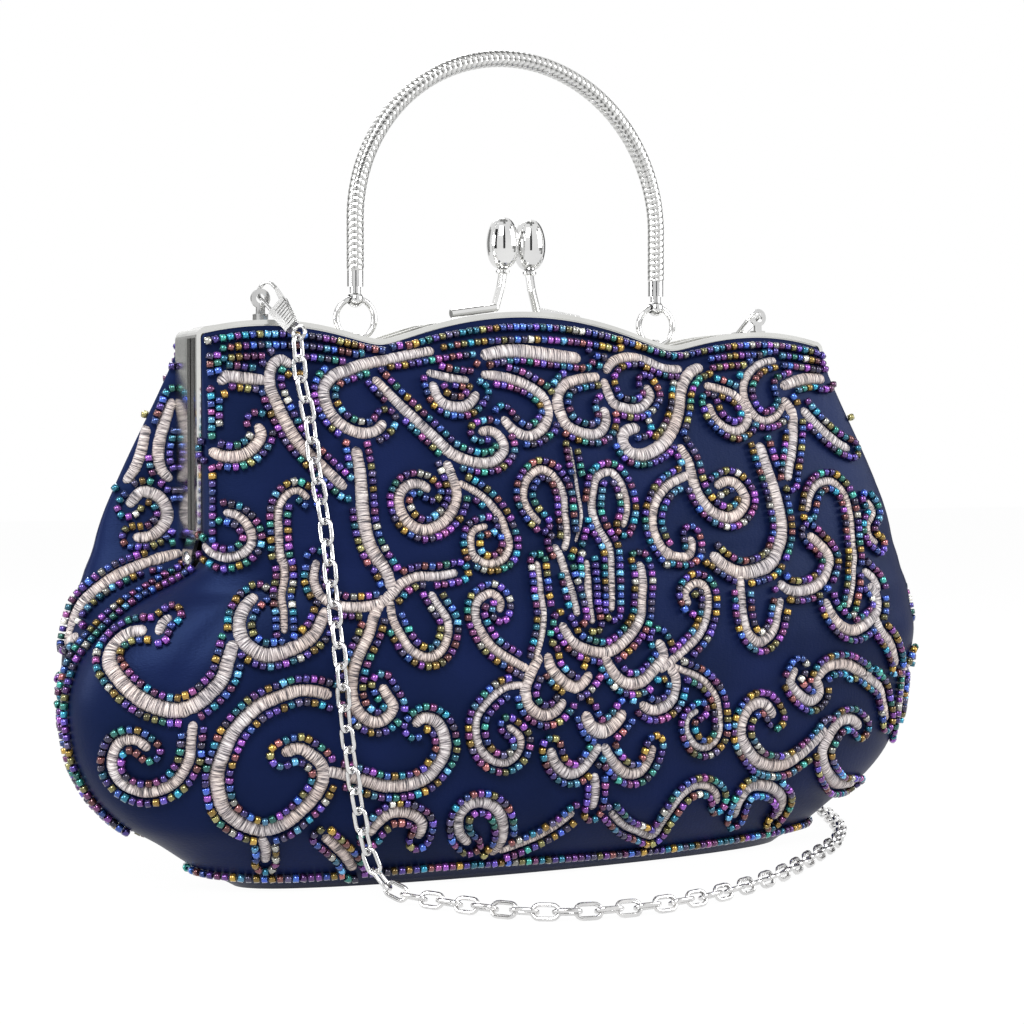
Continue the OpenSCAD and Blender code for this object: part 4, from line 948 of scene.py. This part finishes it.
    (2.6, [(-0.01, 1.06), (0, 0.99), (0.005, 0.93), (0.01, 0.875), (0.014, 0.815)]),
    (2.6, [(0.076, 1.13), (0.086, 1.225), (0.086, 1.33), (0.076, 1.395), (0.057, 1.375),
        (0.048, 1.305), (0.043, 1.21), (0.048, 1.12), (0.057, 1.035), (0.057, 0.96),
        (0.057, 0.895), (0.057, 0.825)]),
    (1.1, [(0.029, 1.52), (0.029, 1.43), (0.029, 1.31), (0.029, 1.18), (0.019, 1.065)]),
    (2.3, [(0.029, 0.99), (0.029, 0.92), (0.029, 0.855), (0.033, 0.79)]),
    (4.3, [(-0.776, 0.805), (-0.833, 0.795), (-0.852, 0.76), (-0.824, 0.715), (-0.767, 0.665),
        (-0.719, 0.625), (-0.667, 0.59), (-0.619, 0.575), (-0.581, 0.59), (-0.552, 0.625),
        (-0.533, 0.67), (-0.533, 0.725), (-0.543, 0.775)]),
    (3.2, [(-0.681, 0.46), (-0.71, 0.49), (-0.752, 0.485), (-0.781, 0.45), (-0.795, 0.395),
        (-0.776, 0.355), (-0.729, 0.335), (-0.676, 0.345), (-0.633, 0.375), (-0.6, 0.43),
        (-0.59, 0.485), (-0.581, 0.545)]),
    (3.0, [(-0.538, 0.19), (-0.567, 0.145), (-0.605, 0.1)]),
    (3.3, [(-0.419, 0.185), (-0.414, 0.15), (-0.41, 0.11), (-0.414, 0.06)]),
    (2.9, [(-0.729, 0.79), (-0.748, 0.825), (-0.743, 0.845)]),
    (2.6, [(-0.229, 1.845), (-0.181, 1.81), (-0.143, 1.795)]),
    (3.4, [(0.93, 1.74), (0.905, 1.64), (0.895, 1.52), (0.91, 1.42), (0.94, 1.36)]),
    (3.6, [(0.83, 1.24), (0.865, 1.31), (0.915, 1.28), (0.93, 1.19), (0.90, 1.11), (0.855, 1.1)]),
    (3.4, [(0.96, 1.03), (0.905, 0.985), (0.86, 0.92), (0.85, 0.83), (0.885, 0.76),
        (0.93, 0.78)]),
    (3.2, [(0.80, 1.62), (0.825, 1.52), (0.82, 1.42), (0.79, 1.35)]),
    (3.8, [(0.84, 0.62), (0.80, 0.52), (0.82, 0.40), (0.88, 0.36), (0.93, 0.43), (0.91, 0.52)]),
]
stitch_step, stitch_height, full_width, probe = 0.5, 1.15, 4, 0.004
tip_share, thin_end, low_share, tuck, sink, sink_soon = 0.55, 0.8, 0.35, 0.12, 0.25, 3
slack_width, slack_height, scroll_gap, line_smooth = 0.035, 0.05, 5, 24


def frame_at(u, v):
    """Points of the satin, the two ways along it and its outward normal, in mm."""
    d = probe
    side = (pouch(u + d, v) - pouch(u - d, v)) / (2 * d)
    rise = (pouch(u, np.minimum(v + d, 2)) - pouch(u, v - d)) / (2 * d)
    n = np.cross(side, rise)
    return pouch(u, v), side, rise, n / np.maximum(np.linalg.norm(n, axis=-1, keepdims=True), 1e-9)


def shifted(u, v, side, rise, way):
    """The (u, v) reached from u, v by going the way (in mm) along the satin."""
    a, b, c = (side * side).sum(-1), (side * rise).sum(-1), (rise * rise).sum(-1)
    e, f = (side * way).sum(-1), (rise * way).sum(-1)
    flat = np.maximum(a * c - b * b, 1e-6)
    return u + (c * e - b * f) / flat, v + (a * f - b * e) / flat


def line_on(points, pitch):
    """A smooth line on the satin through (u, v) points, cut at an even pitch."""
    line = eased(points, line_smooth)
    run = pouch(line[:, 0], line[:, 1])
    s = np.concatenate([[0], np.cumsum(np.linalg.norm(np.diff(run, axis=0), axis=1))])
    count = max(round(s[-1] / pitch), 3)
    at = np.linspace(0, s[-1], count + 1)
    return np.interp(at, s, line[:, 0]), np.interp(at, s, line[:, 1]), at


def across_line(u, v):
    """The same as frame_at for a line's points, and the way square to the line."""
    here, side, rise, n = frame_at(u, v)
    along = np.gradient(here, axis=0)
    along /= np.maximum(np.linalg.norm(along, axis=1, keepdims=True), 1e-9)
    return here, side, rise, n, np.cross(n, along)


stitch_dice = np.random.default_rng(7)
around_ridge = 12
turns = np.linspace(-tuck, 1 + tuck, around_ridge - 1) * math.pi
bm = bmesh.new()
stitch_uv = bm.loops.layers.uv.new("stitches")
start_at = 0.0
for width, points in scrolls:
    u, v, s = line_on(points, stitch_step)
    here, side, rise, n, sidewards = across_line(u, v)
    tip = np.minimum(s, s[-1] - s) / (width * tip_share)
    body = np.sqrt(np.clip(1 - (1 - np.clip(tip, 0, 1)) ** 2, 0, 1))
    body = body * (thin_end + (1 - thin_end) * np.sin(math.pi * s / s[-1]))
    half = width / 2 * body * (1 + stitch_dice.normal(0, slack_width, len(s)))
    full = stitch_height * (low_share + (1 - low_share) * min(width / full_width, 1))
    high = full * body * (1 + stitch_dice.normal(0, slack_height, len(s)))
    grid = bmesh.ops.create_grid(bm, x_segments=len(s) - 1, y_segments=around_ridge, size=1)
    made = grid["verts"]
    spot = np.array([vert.co[:2] for vert in made])
    i = np.rint((spot[:, 0] + 1) / 2 * (len(s) - 1)).astype(int)
    side_way = np.rint((spot[:, 1] + 1) / 2 * around_ridge)
    j = side_way.astype(int) % around_ridge
    turn = np.where(j < around_ridge - 1, turns[np.minimum(j, around_ridge - 2)], 1.5 * math.pi)
    reach, lift = half[i] * np.cos(turn), high[i] * np.sin(turn)
    lift = np.maximum(lift, -sink * np.minimum(body[i] * sink_soon, 1))
    on_u, on_v = shifted(u[i], v[i], side[i], rise[i], sidewards[i] * reach[:, None])
    base = pouch(np.clip(on_u, -1, 1), np.clip(on_v, 0, 1.99))
    for vert, p in zip(made, (base + n[i] * lift[:, None]) * mm):
        vert.co = p
    told = {vert: (start_at + s[a], b / around_ridge) for vert, a, b in zip(made, i, side_way)}
    for f in {f for vert in made for f in vert.link_faces}:
        f.smooth = True
        for corner in f.loops:
            corner[stitch_uv].uv = told[corner.vert]
    start_at += s[-1] + scroll_gap
bmesh.ops.remove_doubles(bm, verts=bm.verts, dist=0.001 * mm)
bmesh.ops.dissolve_degenerate(bm, edges=bm.edges, dist=0.0005 * mm)
bmesh.ops.recalc_face_normals(bm, faces=bm.faces)

rayon, rayon_shader = finish_of("silver_rayon", roughness=0.42, Specular_IOR_Level=0.6)
stitch_place = step(rayon, "UVMap", uv_map="stitches")
laid = step(rayon, "Mapping")
laid.inputs["Scale"].default_value = (3.1, 1.6, 1)
join(rayon, stitch_place.outputs[0], laid.inputs["Vector"])
threads = step(rayon, "TexNoise", Scale=1.0, Detail=3.0, Roughness=0.6)
join(rayon, laid.outputs[0], threads.inputs["Vector"])
# Painted shade: the ramp's lowest stop paints the gaps between the threads near black; the other
# stops are the threads' own colours.
tone = shades(
    rayon, threads.outputs["Fac"],
    (0.37, (0.02, 0.02, 0.03)), (0.44, (0.20, 0.17, 0.17)),
    (0.53, (0.46, 0.40, 0.38)), (0.66, (0.78, 0.72, 0.67)),
)
blush = step(rayon, "Mix", data_type="RGBA", blend_type="MULTIPLY")
blush.inputs["Factor"].default_value = 1.0
join(rayon, tone, blush.inputs[6])
blush_tones = (0.4, (0.98, 0.92, 0.88)), (0.6, (0.90, 0.93, 0.98))
join(rayon, shades(rayon, speckle(rayon, 45, 2), *blush_tones), blush.inputs[7])
join(rayon, blush.outputs[2], rayon_shader.inputs["Base Color"])
relief(rayon, rayon_shader, threads.outputs["Fac"], 0.9, 0.0006)

# The rear panel carries the same pattern, half a turn round.
half_turn = Matrix.Rotation(math.pi, 4, "Z")
front_scrolls = settle("front_scrolls", bm, rayon)
bmesh.ops.transform(bm, matrix=half_turn, verts=bm.verts)
rear_scrolls = settle("rear_scrolls", bm, rayon)
finish_front(front_scrolls)
finish_rear(rear_scrolls)


# Seed beads: short cut glass tubes, 2.2 mm across and 1.8 mm long, with an oil-coloured
# lustre. They are sewn end to end round every scroll, in three rows under the rim, in
# two down the frame's left leg, and in one along the base and up each side seam.
bead_lines = [
    [(-0.875, 1.10), (-0.87, 1.35), (-0.865, 1.6), (-0.87, 1.9)],
    [(-0.82, 1.62), (-0.815, 1.75), (-0.82, 1.9)],
    [(0.975, 0.2), (0.98, 0.5), (0.975, 0.8), (0.985, 0.97)],
    [(-0.97, 0.07), (-0.6, 0.05), (-0.2, 0.06), (0.2, 0.05), (0.6, 0.06), (0.97, 0.07)],
    [(-0.99, 0.2), (-0.985, 0.5), (-0.98, 0.8), (-0.97, 0.97)],
]
rim_rows, rim_from, rim_to = (0.035, 0.075, 0.115), -0.89, 0.985
for drop in rim_rows:
    bead_lines.append([(u, 2 - drop) for u in np.linspace(rim_from, rim_to, 30)])
glass_tints = [
    (0.02, 0.04, 0.17), (0.02, 0.10, 0.21), (0.01, 0.15, 0.17), (0.02, 0.14, 0.09),
    (0.07, 0.03, 0.17), (0.11, 0.03, 0.12), (0.15, 0.04, 0.07), (0.18, 0.07, 0.02),
    (0.12, 0.09, 0.04), (0.03, 0.035, 0.07), (0.30, 0.29, 0.27), (0.05, 0.22, 0.27),
]
tint_odds = [15, 13, 10, 7, 14, 9, 6, 10, 6, 7, 3, 6]
bead_brights = 0.45, 0.65, 0.85, 1, 1.8
bead_girths, bead_lengths, bead_skew = (0.92, 1.06), (0.90, 1.08), 9
bead_pitch, bead_apart, bead_lift, bead_gap = 2.12, 1.85, 1.08, 0.7
bead_section = (0.45, -0.90), (1.10, -0.74), (1.10, 0.74), (0.45, 0.90)
row_out, roll_u, cell, ridge_step, cap_turns = 1.2, 0.945, 1.9, 1.0, 6
bead_u, bead_low, bead_high = 0.995, 0.02, 1.975


def seed_bead():
    """A short cut tube: round outside, bevelled at both ends, with a thread hole."""
    bm = bmesh.new()
    profile = [bm.verts.new(sized(x, 0, z)) for x, z in bead_section]
    edges = [bm.edges.new((a, b)) for a, b in zip(profile, profile[1:] + profile[:1])]
    bmesh.ops.spin(
        bm, geom=profile + edges, cent=(0, 0, 0), axis=(0, 0, 1), angle=2 * math.pi,
        steps=8, use_merge=True,
    )
    bmesh.ops.recalc_face_normals(bm, faces=bm.faces)
    return bm


bead_dice = random.Random(21)
sewn, places, tints = {}, [], []


def cell_of(p):
    """The small box of space that a point lies in."""
    return tuple(int(c // cell) for c in p)


def room_for(p):
    """Whether no bead is sewn so near that the two would touch."""
    key = cell_of(p)
    near = [
        q for a in (-1, 0, 1) for b in (-1, 0, 1) for c in (-1, 0, 1)
        for q in sewn.get((key[0] + a, key[1] + b, key[2] + c), ())
    ]
    return all(np.linalg.norm(p - q) > bead_apart for q in near)


ridge_points, ridge_widths = [], []
for width, points in scrolls:
    u, v, s = line_on(points, ridge_step)
    ridge_points.append(pouch(u, v))
    ridge_widths.append(np.full(len(u), width / 2))
ridge_points, ridge_widths = np.concatenate(ridge_points), np.concatenate(ridge_widths)


def sew(u, v):
    """Beads along a line of (u, v): each lies on the satin with its hole along the row."""
    u, v = np.clip(u, -bead_u, bead_u), np.clip(v, bead_low, bead_high)
    here, side, rise, n, sidewards = across_line(u, v)
    for k in range(len(u)):
        spot = here[k] + n[k] * bead_lift
        gap = np.linalg.norm(ridge_points - here[k], axis=1) - ridge_widths
        by_the_roll = v[k] > 1 and u[k] > roll_u
        if by_the_roll or gap.min() < bead_gap or not room_for(spot):
            continue
        sewn.setdefault(cell_of(spot), []).append(spot)
        up = Vector(n[k])
        run = up.cross(Vector(sidewards[k])).normalized() * -1
        run.rotate(Matrix.Rotation(math.radians(bead_dice.gauss(0, bead_skew)), 3, up))
        flat = run.cross(up)
        place = Matrix((up, flat, run)).transposed().to_4x4()
        size = bead_dice.uniform(*bead_girths)
        place = place @ Matrix.Diagonal((size, size, bead_dice.uniform(*bead_lengths), 1))
        place.translation = Vector(spot) * mm
        places.append(place)
        lustre = glass_tints[bead_dice.choices(range(len(glass_tints)), tint_odds)[0]]
        bright = bead_dice.choice(bead_brights)
        tints.append((*(min(c * bright, 1) for c in lustre), 1))


for points in bead_lines:
    u, v, s = line_on(points, bead_pitch)
    sew(u, v)
for width, points in scrolls:
    u, v, s = line_on(points, stitch_step)
    here, side, rise, n, sidewards = across_line(u, v)
    off = width / 2 + row_out
    ends = []
    for way in (1, -1):
        on_u, on_v = shifted(u, v, side, rise, sidewards * off * way)
        ends.append((on_u[::way], on_v[::way]))
    caps = []
    for k, out in ((-1, 1), (0, -1)):
        ahead_of = np.cross(sidewards[k], n[k]) * out
        turn = np.linspace(0, math.pi, cap_turns + 1)[1:-1]
        cos, sin = np.cos(turn)[:, None], np.sin(turn)[:, None]
        way = off * (sidewards[k] * cos * out + ahead_of * sin)
        caps.append(shifted(u[k], v[k], side[k], rise[k], way))
    loop_u = np.concatenate([ends[0][0], caps[0][0], ends[1][0], caps[1][0]])
    loop_v = np.concatenate([ends[0][1], caps[0][1], ends[1][1], caps[1][1]])
    run = pouch(np.clip(loop_u, -1, 1), np.clip(loop_v, 0, 2))
    s = np.concatenate([[0], np.cumsum(np.linalg.norm(np.diff(run, axis=0), axis=1))])
    at = np.arange(0, s[-1], bead_pitch)
    sew(np.interp(at, s, loop_u), np.interp(at, s, loop_v))

glass, glass_shader = finish_of(
    "lustre_glass", metallic=0.75, roughness=0.2, Coat_Weight=0.6, Coat_Roughness=0.08
)
own = step(glass, "VertexColor", layer_name="tint")
film = step(glass, "Mix", data_type="RGBA", blend_type="MIX")
join(glass, speckle(glass, 500, 2), film.inputs["Factor"])
join(glass, own.outputs["Color"], film.inputs[6])
shift_hue = step(glass, "HueSaturation", Hue=0.57, Saturation=1.0, Value=1.6)
join(glass, own.outputs["Color"], shift_hue.inputs["Color"])
join(glass, shift_hue.outputs["Color"], film.inputs[7])
join(glass, film.outputs[2], glass_shader.inputs["Base Color"])
front_beads = set_out("front_beads", seed_bead(), places, glass, tints)
rear_beads = set_out("rear_beads", seed_bead(), [half_turn @ p for p in places], glass, tints)
finish_front(front_beads)
finish_rear(rear_beads)
